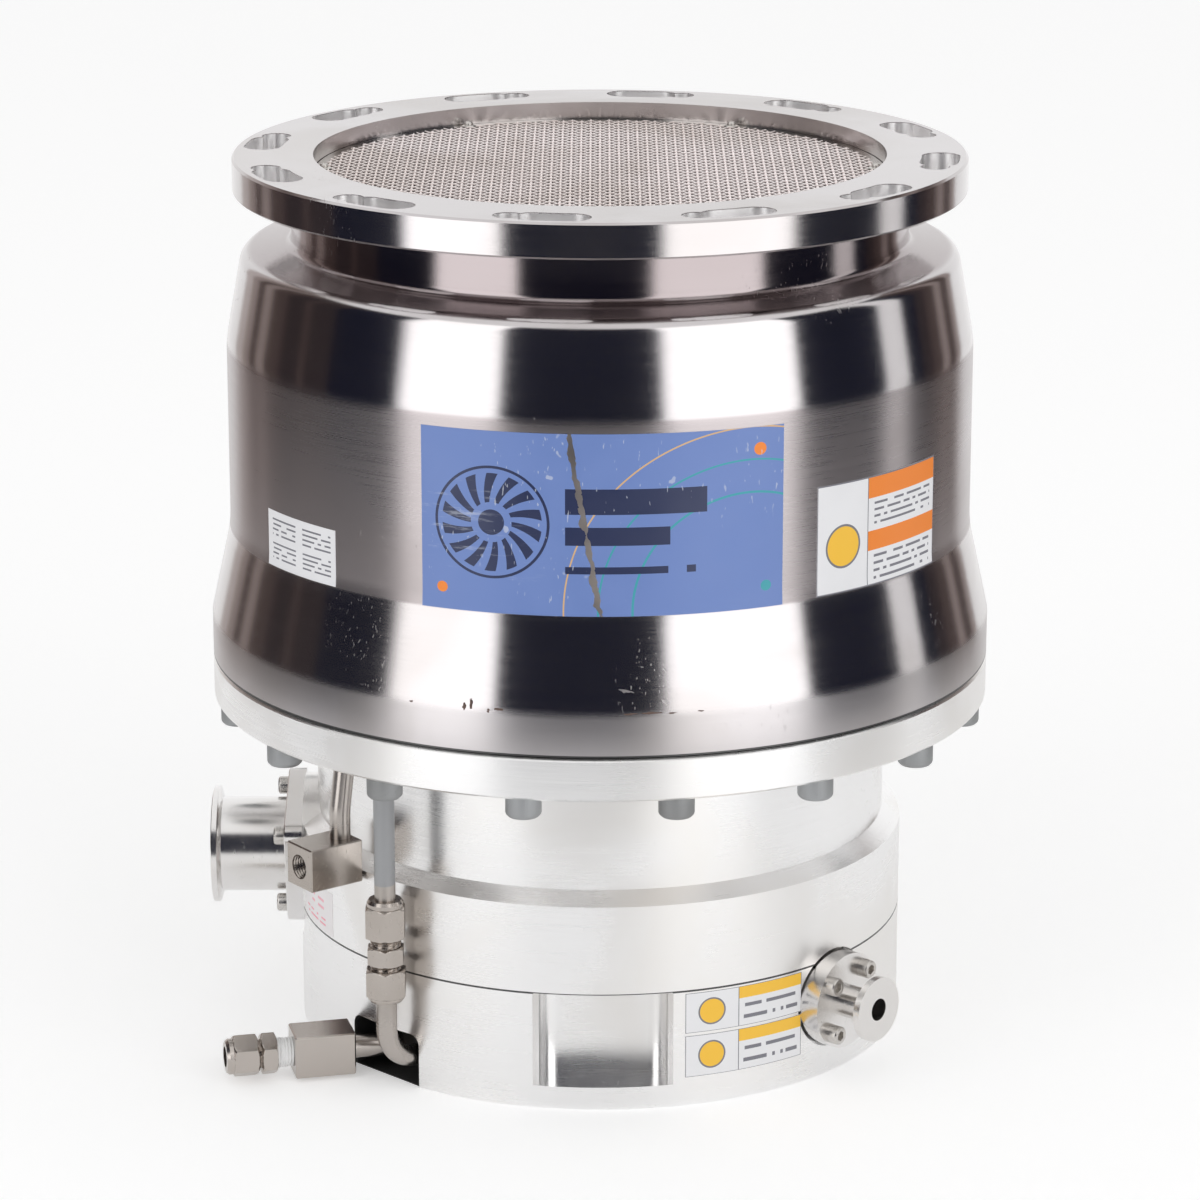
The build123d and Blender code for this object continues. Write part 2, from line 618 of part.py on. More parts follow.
# ---------------------------------------------------------------- cooling water line
def pipe(path_points, bend_radius, outer_d):
    """Bent tube along straight runs joined by tangent arcs."""
    with BuildPart() as tube:
        with BuildLine() as path:
            if bend_radius:
                FilletPolyline(*path_points, radius=bend_radius)
            else:
                Polyline(*path_points)
        start = Plane(origin=path.line @ 0, z_dir=path.line % 0)
        with BuildSketch(start):
            Circle(outer_d / 2)
        sweep()
        with BuildSketch(start):
            Circle(outer_d / 2 - tube_bore)
        sweep(path=path.line, mode=Mode.SUBTRACT)
    return tube


def spot(bearing, distance, z):
    """Point at a bearing and distance from the axis."""
    a = radians(bearing)
    return (-distance * sin(a), -distance * cos(a), z)


# Outlet block: its threaded port faces outwards and its pipe climbs to the base flange
block1_top_z = block1_z + block_w
with BuildPart() as outlet_block:
    with BuildSketch(facing(block1_bearing, block1_r, block1_z + block_w / 2)):
        Rectangle(block_w, block_w)
    extrude(amount=block_l)
    chamfer(edges(), 0.6)
    with BuildSketch(facing(block1_bearing, block1_r + block_l, block1_z + block_w / 2)):
        Circle(thread_d / 2)
    extrude(amount=-thread_depth, mode=Mode.SUBTRACT)
save(outlet_block, "outlet_block")

block1_pipe_r = block1_r + tube_d / 2 + 0.8
outlet_pipe = pipe(
    [
        spot(block1_bearing, block1_pipe_r, block1_top_z),
        spot(block1_bearing, block1_pipe_r, block1_top_z + pipe_set_low),
        spot(block1_bearing, block1_pipe_r - pipe_set, block1_top_z + pipe_set_high),
        spot(block1_bearing, block1_pipe_r - pipe_set, base_flange_z),
    ],
    pipe_set_r,
    tube_d,
)
save(outlet_pipe, "outlet_pipe")

# Flange pipe, union and base pipe
union_mid_z = union_low_z + nut_low_h
union_top_z = union_mid_z + union_h
flange_pipe = pipe([spot(return_bearing, return_r, union_top_z), spot(return_bearing, return_r, base_flange_z)], 0, tube_d)
save(flange_pipe, "flange_pipe")

with BuildPart() as union_body:
    with BuildSketch(Plane.XY.offset(union_mid_z)):
        with Locations(spot(return_bearing, return_r, 0)[:2]):
            RegularPolygon(union_af / 2, 6, major_radius=False, rotation=hex_turn)
            Circle(tube_d / 2 - tube_bore, mode=Mode.SUBTRACT)
    extrude(amount=union_h)
save(union_body, "union_body")

with BuildPart() as union_upper_nut:
    with BuildSketch(Plane.XY.offset(union_top_z)):
        with Locations(spot(return_bearing, return_r, 0)[:2]):
            RegularPolygon(nut_af / 2, 6, major_radius=False, rotation=hex_turn)
            Circle(tube_d / 2, mode=Mode.SUBTRACT)
    extrude(amount=nut_h)
save(union_upper_nut, "union_upper_nut")

with BuildPart() as union_lower_nut:
    with BuildSketch(Plane.XY.offset(union_low_z)):
        with Locations(spot(return_bearing, return_r, 0)[:2]):
            RegularPolygon(nut_af / 2, 6, major_radius=False, rotation=hex_turn + 8)
            Circle(tube_d / 2, mode=Mode.SUBTRACT)
    extrude(amount=nut_low_h)
save(union_lower_nut, "union_lower_nut")

opening_back_r = drum_r - opening_depth
into_wall = facing(opening_bearing, 0, 0).z_dir * -1
elbow = Vector(*spot(return_bearing, return_r, elbow_z))
elbow_reach = return_r * cos(radians(opening_bearing - return_bearing)) - opening_back_r
base_pipe = pipe(
    [spot(return_bearing, return_r, union_mid_z), elbow, elbow + into_wall * elbow_reach],
    elbow_r,
    tube_d,
)
save(base_pipe, "base_pipe")

# Inlet block by the floor, its pipe into the base and its hose fitting
along = Vector(cos(radians(block2_turn)), sin(radians(block2_turn)), 0)
block2_plane = Plane(
    origin=(block2_x, block2_y, block2_z + block_w / 2),
    x_dir=(-along.Y, along.X, 0),
    z_dir=along,
)
half_l = block_l / 2
with BuildPart() as inlet_block:
    with BuildSketch(block2_plane.offset(-half_l)):
        Rectangle(block_w, block_w)
    extrude(amount=block_l)
    chamfer(edges(), 0.6)
    with BuildSketch(block2_plane.offset(-half_l)):
        Circle(thread_d / 2)
    extrude(amount=thread_depth, mode=Mode.SUBTRACT)
save(inlet_block, "inlet_block")

pipe_start = block2_plane.origin + along * half_l
pipe_bend = pipe_start + along * inlet_run
wall_run = -pipe_bend.dot(into_wall) - opening_back_r
inlet_pipe = pipe([pipe_start, pipe_bend, pipe_bend + into_wall * wall_run], inlet_tube_d, inlet_tube_d)
save(inlet_pipe, "inlet_pipe")

with BuildPart() as hose_fitting:
    with BuildSketch(block2_plane.offset(-half_l)):
        Circle(thread_d / 2)
    extrude(amount=thread_depth - 2)
    with BuildSketch(block2_plane.offset(-half_l)):
        Circle(thread_d / 2 + 0.6)
    extrude(amount=-hose_thread_l)
    with BuildSketch(block2_plane.offset(-half_l - hose_thread_l)):
        RegularPolygon(nut_af / 2, 6, major_radius=False, rotation=hex_turn)
    extrude(amount=-hose_hex_l)
    with BuildSketch(block2_plane.offset(-half_l - hose_thread_l - hose_hex_l)):
        Circle(hose_neck_d / 2)
    extrude(amount=-hose_neck_l)
    with BuildSketch(block2_plane.offset(-half_l - hose_thread_l - hose_hex_l - hose_neck_l)):
        Circle(tube_d / 2 - tube_bore)
    extrude(amount=hose_thread_l + hose_hex_l + hose_neck_l + thread_depth - 2, mode=Mode.SUBTRACT)
save(hose_fitting, "hose_fitting")

with BuildPart() as hose_nut:
    with BuildSketch(block2_plane.offset(-half_l - hose_thread_l - hose_hex_l - 1)):
        RegularPolygon(nut_af / 2, 6, major_radius=False, rotation=hex_turn + 14)
    extrude(amount=-hose_nut_l)
    with BuildSketch(block2_plane.offset(-half_l - hose_thread_l - hose_hex_l - 1)):
        Circle(hose_neck_d / 2)
    extrude(amount=-(hose_neck_l - 1), mode=Mode.SUBTRACT)
    with BuildSketch(block2_plane.offset(-half_l - hose_thread_l - hose_hex_l - 1)):
        Circle(tube_d / 2)
    extrude(amount=-hose_nut_l, mode=Mode.SUBTRACT)
save(hose_nut, "hose_nut")

# ---------------------------------------------------------------- column, bearings and motor
floor_z = floor_low_z + floor_t
column_r, column_bore_r = column_d / 2, column_d / 2 - column_wall
column_foot_z = floor_z + column_foot_t
stator_column = turned(
    [
        (column_bore_r, floor_z),
        (column_foot_d / 2, floor_z),
        (column_foot_d / 2, column_foot_z),
        (column_r, column_foot_z),
        (column_r, column_top_z),
        (column_bore_r, column_top_z),
    ]
)
save(stator_column, "stator_column")

with BuildPart() as column_screws:
    with BuildSketch(Plane.XY.offset(column_foot_z)):
        with PolarLocations(column_screw_circle_d / 2, 6):
            Circle(column_head_d / 2)
            RegularPolygon(column_screw_d * 0.4, 6, major_radius=False, mode=Mode.SUBTRACT)
    extrude(amount=column_head_h)
save(column_screws, "column_screws")


def stator_core(middle_z, height, inner_r, poles, pole_w):
    """Laminated ring that fills the column's bore, with poles pointing at the shaft."""
    low = middle_z - height / 2
    with BuildPart() as core:
        with BuildSketch(Plane.XY.offset(low)):
            Circle(column_bore_r)
            Circle(column_bore_r - yoke_w, mode=Mode.SUBTRACT)
            with PolarLocations(column_bore_r - yoke_w - 3, poles):
                Rectangle(20, pole_w)
            Circle(inner_r, mode=Mode.SUBTRACT)
            Circle(column_bore_r, mode=Mode.INTERSECT)
        extrude(amount=height)
    return core


def coils(middle_z, height, inner_r, poles, pole_w):
    """One coil round each pole, a square frame that stands above and below the core."""
    outer_r = sqrt((column_bore_r - yoke_w - 0.3) ** 2 - (pole_w / 2 + coil_t) ** 2)
    with BuildPart() as coil:
        with BuildSketch(Plane(origin=(inner_r + 1, 0, middle_z), x_dir=(0, 1, 0), z_dir=(1, 0, 0))):
            Rectangle(pole_w + 2 * coil_t, height + 2 * coil_over)
            Rectangle(pole_w, height, mode=Mode.SUBTRACT)
        extrude(amount=outer_r - inner_r - 1)
    with BuildPart() as group:
        with PolarLocations(0, poles):
            add(coil.part)
    return group


pole_face_r = journal_d / 2 + air_gap
motor_face_r = magnet_d / 2 + air_gap
upper_bearing = stator_core(upper_bearing_z, bearing_h, pole_face_r, bearing_poles, bearing_pole_w)
lower_bearing = stator_core(lower_bearing_z, bearing_h, pole_face_r, bearing_poles, bearing_pole_w)
motor_stator = stator_core(motor_z, motor_h, motor_face_r, motor_poles, motor_pole_w)
upper_coils = coils(upper_bearing_z, bearing_h, pole_face_r, bearing_poles, bearing_pole_w)
lower_coils = coils(lower_bearing_z, bearing_h, pole_face_r, bearing_poles, bearing_pole_w)
motor_coils = coils(motor_z, motor_h, motor_face_r, motor_poles, motor_pole_w)
save(upper_bearing, "upper_magnetic_bearing")
save(lower_bearing, "lower_magnetic_bearing")
save(motor_stator, "motor_stator")
save(upper_coils, "upper_bearing_coils")
save(lower_coils, "lower_bearing_coils")
save(motor_coils, "motor_coils")

thrust_low_z, thrust_top_z = thrust_z - thrust_t / 2, thrust_z + thrust_t / 2
upper_axial = sleeve(
    column_bore_r, axial_bore_d / 2, thrust_top_z + air_gap, thrust_top_z + air_gap + axial_h
)
lower_axial = sleeve(
    column_bore_r, axial_bore_d / 2, thrust_low_z - air_gap - axial_h, thrust_low_z - air_gap
)
save(upper_axial, "upper_axial_magnet")
save(lower_axial, "lower_axial_magnet")

touch_r = shaft_d / 2 + touch_gap
upper_touch = sleeve(column_bore_r, touch_r, upper_touch_z - touch_h / 2, upper_touch_z + touch_h / 2)
lower_touch = sleeve(column_bore_r, touch_r, lower_touch_z - touch_h / 2, lower_touch_z + touch_h / 2)
save(upper_touch, "upper_touchdown_bearing")
save(lower_touch, "lower_touchdown_bearing")

# ---------------------------------------------------------------- rotor shaft
cap_low_z = hub_top_z - cap_t
shaft_r = shaft_d / 2
rotor_shaft = turned(
    [
        (0, shaft_low_z),
        (shaft_r, shaft_low_z),
        (shaft_r, cap_low_z - shaft_flange_t),
        (shaft_flange_d / 2, cap_low_z - shaft_flange_t),
        (shaft_flange_d / 2, cap_low_z),
        (centring_d / 2, cap_low_z),
        (centring_d / 2, cap_low_z + centring_h),
        (0, cap_low_z + centring_h),
    ]
)
save(rotor_shaft, "rotor_shaft")
save(sleeve(thrust_d / 2, shaft_r, thrust_low_z, thrust_top_z), "thrust_disc")
save(sleeve(magnet_d / 2, shaft_r, motor_z - motor_h / 2, motor_z + motor_h / 2), "motor_magnet")
with BuildPart() as bearing_targets:
    for target_z in (upper_bearing_z, lower_bearing_z):
        with BuildSketch(Plane.XY.offset(target_z - bearing_h / 2)):
            Circle(journal_d / 2)
            Circle(shaft_r, mode=Mode.SUBTRACT)
        extrude(amount=bearing_h)
save(bearing_targets, "bearing_targets")

with BuildPart() as rotor_bolts:
    with BuildSketch(Plane.XY.offset(hub_top_z)):
        with PolarLocations(rotor_bolt_circle_d / 2, rotor_bolt_n):
            Circle(rotor_head_d / 2)
            RegularPolygon(rotor_bolt_d * 0.4, 6, major_radius=False, mode=Mode.SUBTRACT)
    extrude(amount=rotor_head_h)
    with BuildSketch(Plane.XY.offset(hub_top_z)):
        with PolarLocations(rotor_bolt_circle_d / 2, rotor_bolt_n):
            Circle(rotor_bolt_d / 2)
    extrude(amount=-cap_t)
save(rotor_bolts, "rotor_bolts")

# ---------------------------------------------------------------- turbine
skirt_r = skirt_d / 2
spacer_r = casing_bore_d / 2 - spacer_room
spacer_bore_r = spacer_r - spacer_wall
tip_r = spacer_bore_r - tip_gap


def hub_r(z):
    """Outer radius of the rotor hub at a height."""
    if z <= skirt_top_z:
        return skirt_r
    return skirt_r + (z - skirt_top_z) / (hub_top_z - skirt_top_z) * (hub_top_d / 2 - skirt_r)


# Heights of the rows, from the inlet down: (low, high) of each
rotor_rows, stator_rows = [], []
row_z = rotor_top_z
for k, height in enumerate(rotor_heights):
    rotor_rows.append((row_z - height, row_z))
    row_z -= height + row_gap
    if k < len(stator_heights):
        stator_rows.append((row_z - stator_heights[k], row_z))
        row_z -= stator_heights[k] + row_gap

hub = turned(
    [
        (centring_d / 2, hub_top_z),
        (hub_top_d / 2, hub_top_z),
        (skirt_r, skirt_top_z),
        (skirt_r, skirt_low_z),
        (skirt_r - skirt_wall, skirt_low_z),
        (skirt_r - skirt_wall, skirt_top_z),
        (hub_bore_d / 2, cap_low_z),
        (centring_d / 2, cap_low_z),
    ]
)
rotor_blades = [
    vane(hub_r(high) - 2, tip_r, low, high - low, angle, blade_t)
    for (low, high), angle in zip(rotor_rows, rotor_angles)
]
with BuildPart() as turbine_rotor:
    add(hub.part)
    for blade in rotor_blades:
        with PolarLocations(0, blades):
            add(blade)
    with BuildSketch(Plane.XY.offset(hub_top_z)):
        with PolarLocations(rotor_bolt_circle_d / 2, rotor_bolt_n):
            Circle(rotor_bolt_d / 2)
    extrude(amount=-cap_t, mode=Mode.SUBTRACT)
save(turbine_rotor, "turbine_rotor")

# Stator stages lean the other way; their rims are clamped between the spacer rings
ring_top_z = casing_bore_top
for k, ((low, high), angle) in enumerate(zip(stator_rows, stator_angles)):
    rim_low_z = (low + high - stator_rim_t) / 2
    inner_r = hub_r(low) + stator_room
    rim = sleeve(spacer_r, spacer_r - stator_rim_w, rim_low_z, rim_low_z + stator_rim_t)
    inner_ring = sleeve(inner_r + stator_hub_w, inner_r, low, high)
    blade = vane(
        inner_r + stator_hub_w - 1, spacer_bore_r - 0.5, low, high - low, 180 - angle, blade_t
    )
    with BuildPart() as stage:
        add(inner_ring.part)
        with PolarLocations(0, stator_blades):
            add(blade)
        add(rim.part)
    save(stage, f"stator_stage_{k + 1}")
    ring = sleeve(spacer_r, spacer_bore_r, rim_low_z + stator_rim_t, ring_top_z)
    save(ring, f"spacer_ring_{k + 1}")
    ring_top_z = rim_low_z
save(sleeve(spacer_r, spacer_bore_r, joint_z, ring_top_z), "spacer_ring_5")

# ---------------------------------------------------------------- drag stage
drag_r, drag_bore_r = base_bore_r - fit, skirt_r + drag_gap
drag_body = turned(
    [
        (drag_bore_r, drag_low_z),
        (drag_r, drag_low_z),
        (drag_r, joint_z),
        (drag_flange_d / 2, joint_z),
        (drag_flange_d / 2, joint_z + drag_flange_t),
        (drag_bore_r, joint_z + drag_flange_t),
    ]
)
groove_cut = vane(
    drag_bore_r - 5,
    drag_bore_r + groove_depth,
    drag_low_z - 1,
    joint_z + drag_flange_t + 2 - drag_low_z,
    groove_angle,
    groove_w,
)
with BuildPart() as drag_stator:
    add(drag_body.part)
    with PolarLocations(0, grooves):
        add(groove_cut, mode=Mode.SUBTRACT)
save(drag_stator, "drag_stator")
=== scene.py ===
# %% [markdown]
# # A turbomolecular pump, dressed for its picture
# The CAD model is loaded as a fixed frame: every casting, pipe and blade is already in place.
# What is left for Blender is the finish of the metal, the woven screen, the threads, the
# fasteners, the labels and the light. Lengths are in metres, and mm turns millimetres into them;
# the few names and profiles that stay in millimetres say so.

# %% Load the frame
import json, math
import bpy, bmesh, mathutils
import numpy as np
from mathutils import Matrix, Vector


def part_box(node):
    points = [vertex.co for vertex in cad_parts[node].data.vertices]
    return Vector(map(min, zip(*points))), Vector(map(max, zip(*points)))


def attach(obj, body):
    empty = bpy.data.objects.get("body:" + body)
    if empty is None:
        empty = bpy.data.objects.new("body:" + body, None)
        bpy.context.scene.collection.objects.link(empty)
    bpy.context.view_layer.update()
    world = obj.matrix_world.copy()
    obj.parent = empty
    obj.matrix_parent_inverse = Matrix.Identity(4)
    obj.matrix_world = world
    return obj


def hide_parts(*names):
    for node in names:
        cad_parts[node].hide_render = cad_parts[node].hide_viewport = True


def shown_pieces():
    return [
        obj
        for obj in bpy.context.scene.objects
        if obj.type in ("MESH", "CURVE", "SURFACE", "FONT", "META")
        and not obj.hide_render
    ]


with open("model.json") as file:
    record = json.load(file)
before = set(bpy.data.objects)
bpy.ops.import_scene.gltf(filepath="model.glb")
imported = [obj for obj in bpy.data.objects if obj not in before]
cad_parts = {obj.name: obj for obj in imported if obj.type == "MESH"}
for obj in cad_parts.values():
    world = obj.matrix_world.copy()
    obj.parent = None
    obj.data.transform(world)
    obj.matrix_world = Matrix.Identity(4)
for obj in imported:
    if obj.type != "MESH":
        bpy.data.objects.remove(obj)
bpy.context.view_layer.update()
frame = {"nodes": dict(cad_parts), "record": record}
nodes, record = frame["nodes"], frame["record"]
slot_of = {part["node"]: part["material_slot"] for part in record["subparts"]}
mm = 0.001

# %% [markdown]
# ## Grids
# Nearly every piece of a machine like this is a surface over two parameters: once round and
# once along. The points come as one numpy array of rows by columns, and neighbours become quads.

# %% Grid helpers
def grid_faces(rows, cols, close_rows=False, close_cols=True):
    """Quads (r, c), (r, c+1), (r+1, c+1), (r+1, c) for every cell of a grid of points."""
    r, c = np.meshgrid(
        np.arange(rows - (not close_rows)), np.arange(cols - (not close_cols)), indexing="ij"
    )
    r2, c2 = (r + 1) % rows, (c + 1) % cols
    return np.stack([r * cols + c, r * cols + c2, r2 * cols + c2, r2 * cols + c], -1).reshape(-1, 4)

def make_piece(name, points, faces, body, slot, smooth_angle=30, uv=None):
    """One mesh from points and faces: doubles merged, normals outward, smooth below an angle."""
    mesh = bpy.data.meshes.new(name)
    mesh.from_pydata(
        np.asarray(points, float).reshape(-1, 3).tolist(), [], [list(map(int, f)) for f in faces]
    )
    if uv is not None:
        layer = mesh.uv_layers.new(name="UVMap")
        index = np.empty(len(mesh.loops), int)
        mesh.loops.foreach_get("vertex_index", index)
        layer.data.foreach_set("uv", np.asarray(uv, float).reshape(-1, 2)[index].ravel())
    bm = bmesh.new()
    bm.from_mesh(mesh)
    bmesh.ops.remove_doubles(bm, verts=bm.verts, dist=1e-7)
    if all(edge.is_manifold for edge in bm.edges) and bm.calc_volume(signed=True) < 0:
        bmesh.ops.reverse_faces(bm, faces=bm.faces)
    bm.to_mesh(mesh)
    bm.free()
    mesh.polygons.foreach_set("use_smooth", np.ones(len(mesh.polygons), bool))
    mesh.set_sharp_from_angle(angle=math.radians(smooth_angle))
    piece = bpy.data.objects.new(name, mesh)
    bpy.context.scene.collection.objects.link(piece)
    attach(piece, body)
    piece["finish"] = slot
    piece.data.materials.append(None)
    print(name, len(mesh.polygons), "faces")
    return piece

def axes_along(axis):
    """Rows x, y, z of a frame whose z runs along axis and whose y leans upwards."""
    z = np.array(axis, float) / np.linalg.norm(axis)
    up = np.array((0.0, 0.0, 1.0) if abs(z[2]) < 0.99 else (0.0, 1.0, 0.0))
    x = np.cross(up, z)
    x /= np.linalg.norm(x)
    return np.array([x, np.cross(z, x), z])

def outwards(bearing):
    """Unit vector at a bearing, measured from the front towards the outlet side."""
    a = math.radians(bearing)
    return np.array([-math.sin(a), -math.cos(a), 0.0])

def spot(bearing, distance, z):
    """Point at a bearing and a distance from the rotor axis, in metres."""
    return outwards(bearing) * distance + np.array([0, 0, z])

# %% [markdown]
# ## Turned and six-sided pieces
# A lathe makes a profile of radius against length. Letting the radius depend on the angle as
# well gives a hexagon, a knurl or a screw thread with the same few lines.

# %% Round rules and turned pieces
def hexagon(angle, across_flats):
    """Radius of a hexagon at an angle: half the width over the cosine of the angle to its flat."""
    return across_flats / 2 / np.cos((angle + math.pi / 6) % (math.pi / 3) - math.pi / 6)

def turned_grid(rows, segments=72):
    """Rows of (radius, length) or (function of angle, length) become a rows-by-segments grid."""
    angle = np.linspace(0, 2 * math.pi, segments, endpoint=False)
    grid = np.zeros((len(rows), segments, 3))
    for i, (radius, length) in enumerate(rows):
        r = radius(angle) if callable(radius) else np.full(segments, radius)
        grid[i] = np.stack([r * np.cos(angle), r * np.sin(angle), np.full(segments, length)], -1)
    return grid

def placed(grid, places):
    """Copies a grid to every (origin, axis): each point is origin + x*X + y*Y + z*Z."""
    return np.stack([np.asarray(o) + grid @ axes_along(a) for o, a in places])

def turned_piece(name, rows, places, body, slot, segments=72, closed=False):
    """Turned pieces at one or more places; closed joins the last row to the first, as in a ring."""
    grid = turned_grid(rows, segments)
    copies = placed(grid, places)
    faces = grid_faces(len(rows), segments, close_rows=closed)
    step = grid.shape[0] * grid.shape[1]
    all_faces = np.concatenate([faces + k * step for k in range(len(places))])
    return make_piece(name, copies, all_faces, body, slot)

# %% Nuts, threads and screw heads
def nut_rows(flats, length, bore):
    """A hexagon between two chamfers of 30 degrees, as rows of the smaller of hexagon and cone."""
    rise, lip = math.tan(math.radians(30)), flats / 2 * 0.97
    depths = np.linspace(0, (flats / math.sqrt(3) - lip) * rise, 5)
    cut = [lambda a, d=d: np.minimum(hexagon(a, flats), lip + d / rise) for d in depths]
    rows = [(bore, 0), (lip, 0), *zip(cut, depths)]
    rows += [(outline, length - d) for outline, d in zip(cut[::-1], depths[::-1])]
    return rows + [(lip, length), (bore, length)]

def thread_grid(radius, depth, pitch, length, segments=48):
    """Screw thread: radius less depth times a triangle wave of (length / pitch - angle / 2 pi)."""
    angle = np.linspace(0, 2 * math.pi, segments, endpoint=False)[None, :]
    along = np.linspace(0, length, int(length / pitch * 10))[:, None]
    wave = np.abs(((along / pitch - angle / (2 * math.pi)) % 1) * 2 - 1)
    r = radius - depth * wave
    return np.stack([r * np.cos(angle), r * np.sin(angle), along + 0 * angle], -1)

def cap_rows(radius, height, flats, knurl, ridges=36):
    """Socket head from its base up: knurled side, rounded rim, flat top, six-sided recess."""
    side = lambda a: radius - knurl * (0.5 + 0.5 * np.cos(ridges * a))
    soft, deep = height * 0.08, height * 0.5
    return [
        (0.0, 0.0), (side, 0.0), (side, height - 2.2 * soft),
        (radius - 0.4 * soft, height - 1.2 * soft), (radius - 1.6 * soft, height),
        (lambda a: hexagon(a, flats) * 1.08, height),
        (lambda a: hexagon(a, flats), height - soft * 0.6),
        (lambda a: hexagon(a, flats), height - deep), (0.0, height - deep - soft),
    ]

def in_mm(rows):
    """Pairs of millimetres, as metres."""
    return [(a * mm, b * mm) for a, b in rows]

# %% [markdown]
# ## Fasteners
# The solids have plain heads. Real socket screws have a knurled side, a small rounding and a
# six-sided recess, and they catch the light with all three, so each set gets new heads.

# %% Screws under the base flange
joint_count, joint_r, base_flange = 16, 171 * mm, 20.2 * mm
flange_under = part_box("base_housing")[1].z - base_flange
joint_places = [
    (spot((k + 0.5) * 360 / joint_count, joint_r, flange_under), (0, 0, -1))
    for k in range(joint_count)
]
joint_heads = turned_piece(
    "joint_screw_heads", cap_rows(8 * mm, 10 * mm, 8 * mm, 0.12 * mm), joint_places, "housing",
    "bolt_steel", 96,
)
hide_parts("joint_screws")

# %% Screws of the outlet plate and the purge flange
def across_from(bearing):
    """Level unit vector at right angles to a bearing."""
    return np.array([math.cos(math.radians(bearing)), -math.sin(math.radians(bearing)), 0])

def ring_of_places(bearing, distance, z, circle_r, first, count=4):
    """Places round a port: the port's centre plus a circle in its face plane."""
    out, up, across = outwards(bearing), np.array([0, 0, 1.0]), across_from(bearing)
    angles = [math.radians(first + 360 / count * k) for k in range(count)]
    return [
        (out * distance + up * z + circle_r * (across * math.cos(a) + up * math.sin(a)), out)
        for a in angles
    ]

port_z, plate_x = 78 * mm, 148 * mm
small_cap = cap_rows(4.25 * mm, 5 * mm, 4 * mm, 0.08 * mm, 24)
outlet_places = ring_of_places(90, plate_x, port_z, 28 * mm, 26.5)
outlet_heads = turned_piece(
    "outlet_screw_heads", small_cap, outlet_places, "housing", "clip_steel"
)
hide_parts("outlet_screws")
purge_heads = turned_piece(
    "purge_screw_heads", small_cap, ring_of_places(-49, 150 * mm, 36 * mm, 17 * mm, 50),
    "housing", "clip_steel",
)
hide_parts("purge_screws")

# %% [markdown]
# ## The inlet casing
# The casing is one turned part, and light on it shows every corner of its profile. Turning tools
# leave soft corners: a hollow one under the flange and long, gentle ones where the cones meet the
# cylinder. A skin is turned from that rounded profile. The CAD casing keeps its flange, holes and
# bore in a copy, whose outer wall is drawn in a few millimetres so that it ends inside the skin.

# %% Rounded profile
def rounded(corners, radii, steps=9):
    """Each corner (r, z) is cut back by radius * tan(turn / 2) and joined by an arc."""
    rows = [corners[:1]]
    for before, corner, after, radius in zip(corners, corners[1:], corners[2:], radii):
        u, w = before - corner, after - corner
        u, w = u / np.linalg.norm(u), w / np.linalg.norm(w)
        half = math.acos(np.clip(u @ w, -1, 1)) / 2
        cut_back = radius / math.tan(half)
        middle = corner + (u + w) / np.linalg.norm(u + w) * radius / math.sin(half)
        t = np.linspace(0, 1, steps)[:, None]
        chord = (1 - t) * (corner + u * cut_back) + t * (corner + w * cut_back) - middle
        rows.append(middle + chord / np.linalg.norm(chord, axis=1)[:, None] * radius)
    return np.concatenate([*rows, corners[-1:]])

inlet_flange, skin_thick, neck_z = 16 * mm, 1.5 * mm, 0.355
corners = np.array(
    [(141, 394.95), (141, 370.9), (164, 367.9), (171.5, 327), (171.5, 240), (180.65, 198.6)]
) * mm
skin = rounded(corners, np.array([4, 7, 60, 60]) * mm)
inside = skin - np.where(skin[:, 1:] > neck_z, [[skin_thick, 3 * mm]], [[skin_thick, 0]])
rows = np.concatenate([skin, inside[::-1]])
casing_skin = make_piece(
    "casing_skin", turned_grid(rows, 256), grid_faces(len(rows), 256, close_rows=True), "housing",
    "casing_steel", 40,
)

# %% CAD casing with its outer wall drawn in
cad = nodes["inlet_casing"].data
points = np.empty(len(cad.vertices) * 3)
cad.vertices.foreach_get("co", points)
points = points.reshape(-1, 3)
radius = np.hypot(points[:, 0], points[:, 1])
wall_z, wall_r = np.array(
    [(198.5, 180.7), (240, 171.5), (327, 171.5), (367.6, 164), (375.8, 147), (381, 141), (395, 141)]
).T * mm
lip_z, flange_low = 0.1986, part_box("inlet_casing")[1].z - inlet_flange
draw_in, draw_down = 3 * mm, 8 * mm
outer = (
    (np.abs(radius - np.interp(points[:, 2], wall_z, wall_r)) < draw_in)
    & (points[:, 2] > lip_z) & (points[:, 2] < flange_low - 0.5 * mm)
)
points[:, :2] *= np.where(outer, 1 - draw_in / radius, 1)[:, None]
points[:, 2] -= np.where(outer & (points[:, 2] > neck_z), draw_down, 0)
casing_core = make_piece(
    "casing_core", points, [tuple(f.vertices) for f in cad.polygons], "housing", "casing_steel", 30
)
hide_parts("inlet_casing")
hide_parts("inlet_casing")
print("outer wall drawn in:", int(outer.sum()), "points")

# %% [markdown]
# ## The outlet port
# The outlet port is a square plate with rounded corners, screwed on a little askew, and a tube
# with a clamp rim. Both are rings of rows about the port's axis: the plate's outline is a
# rounded square and its bore a circle, and the tube is a turned profile.

# %% Outlet plate and tube
def rounded_square(side, corner, angle):
    """Reach at each angle of a square with arcs in its corners, by walking out along each ray."""
    ray = np.abs(np.stack([np.cos(angle), np.sin(angle)], -1))
    straight = side / 2 / ray.max(1)
    centre = side / 2 - corner
    along = (ray * centre).sum(1)
    arc = along + np.sqrt(np.maximum(along ** 2 - 2 * centre ** 2 + corner ** 2, 0))
    in_corner = (ray * straight[:, None]).min(1) > centre
    return np.where(in_corner, arc, straight)

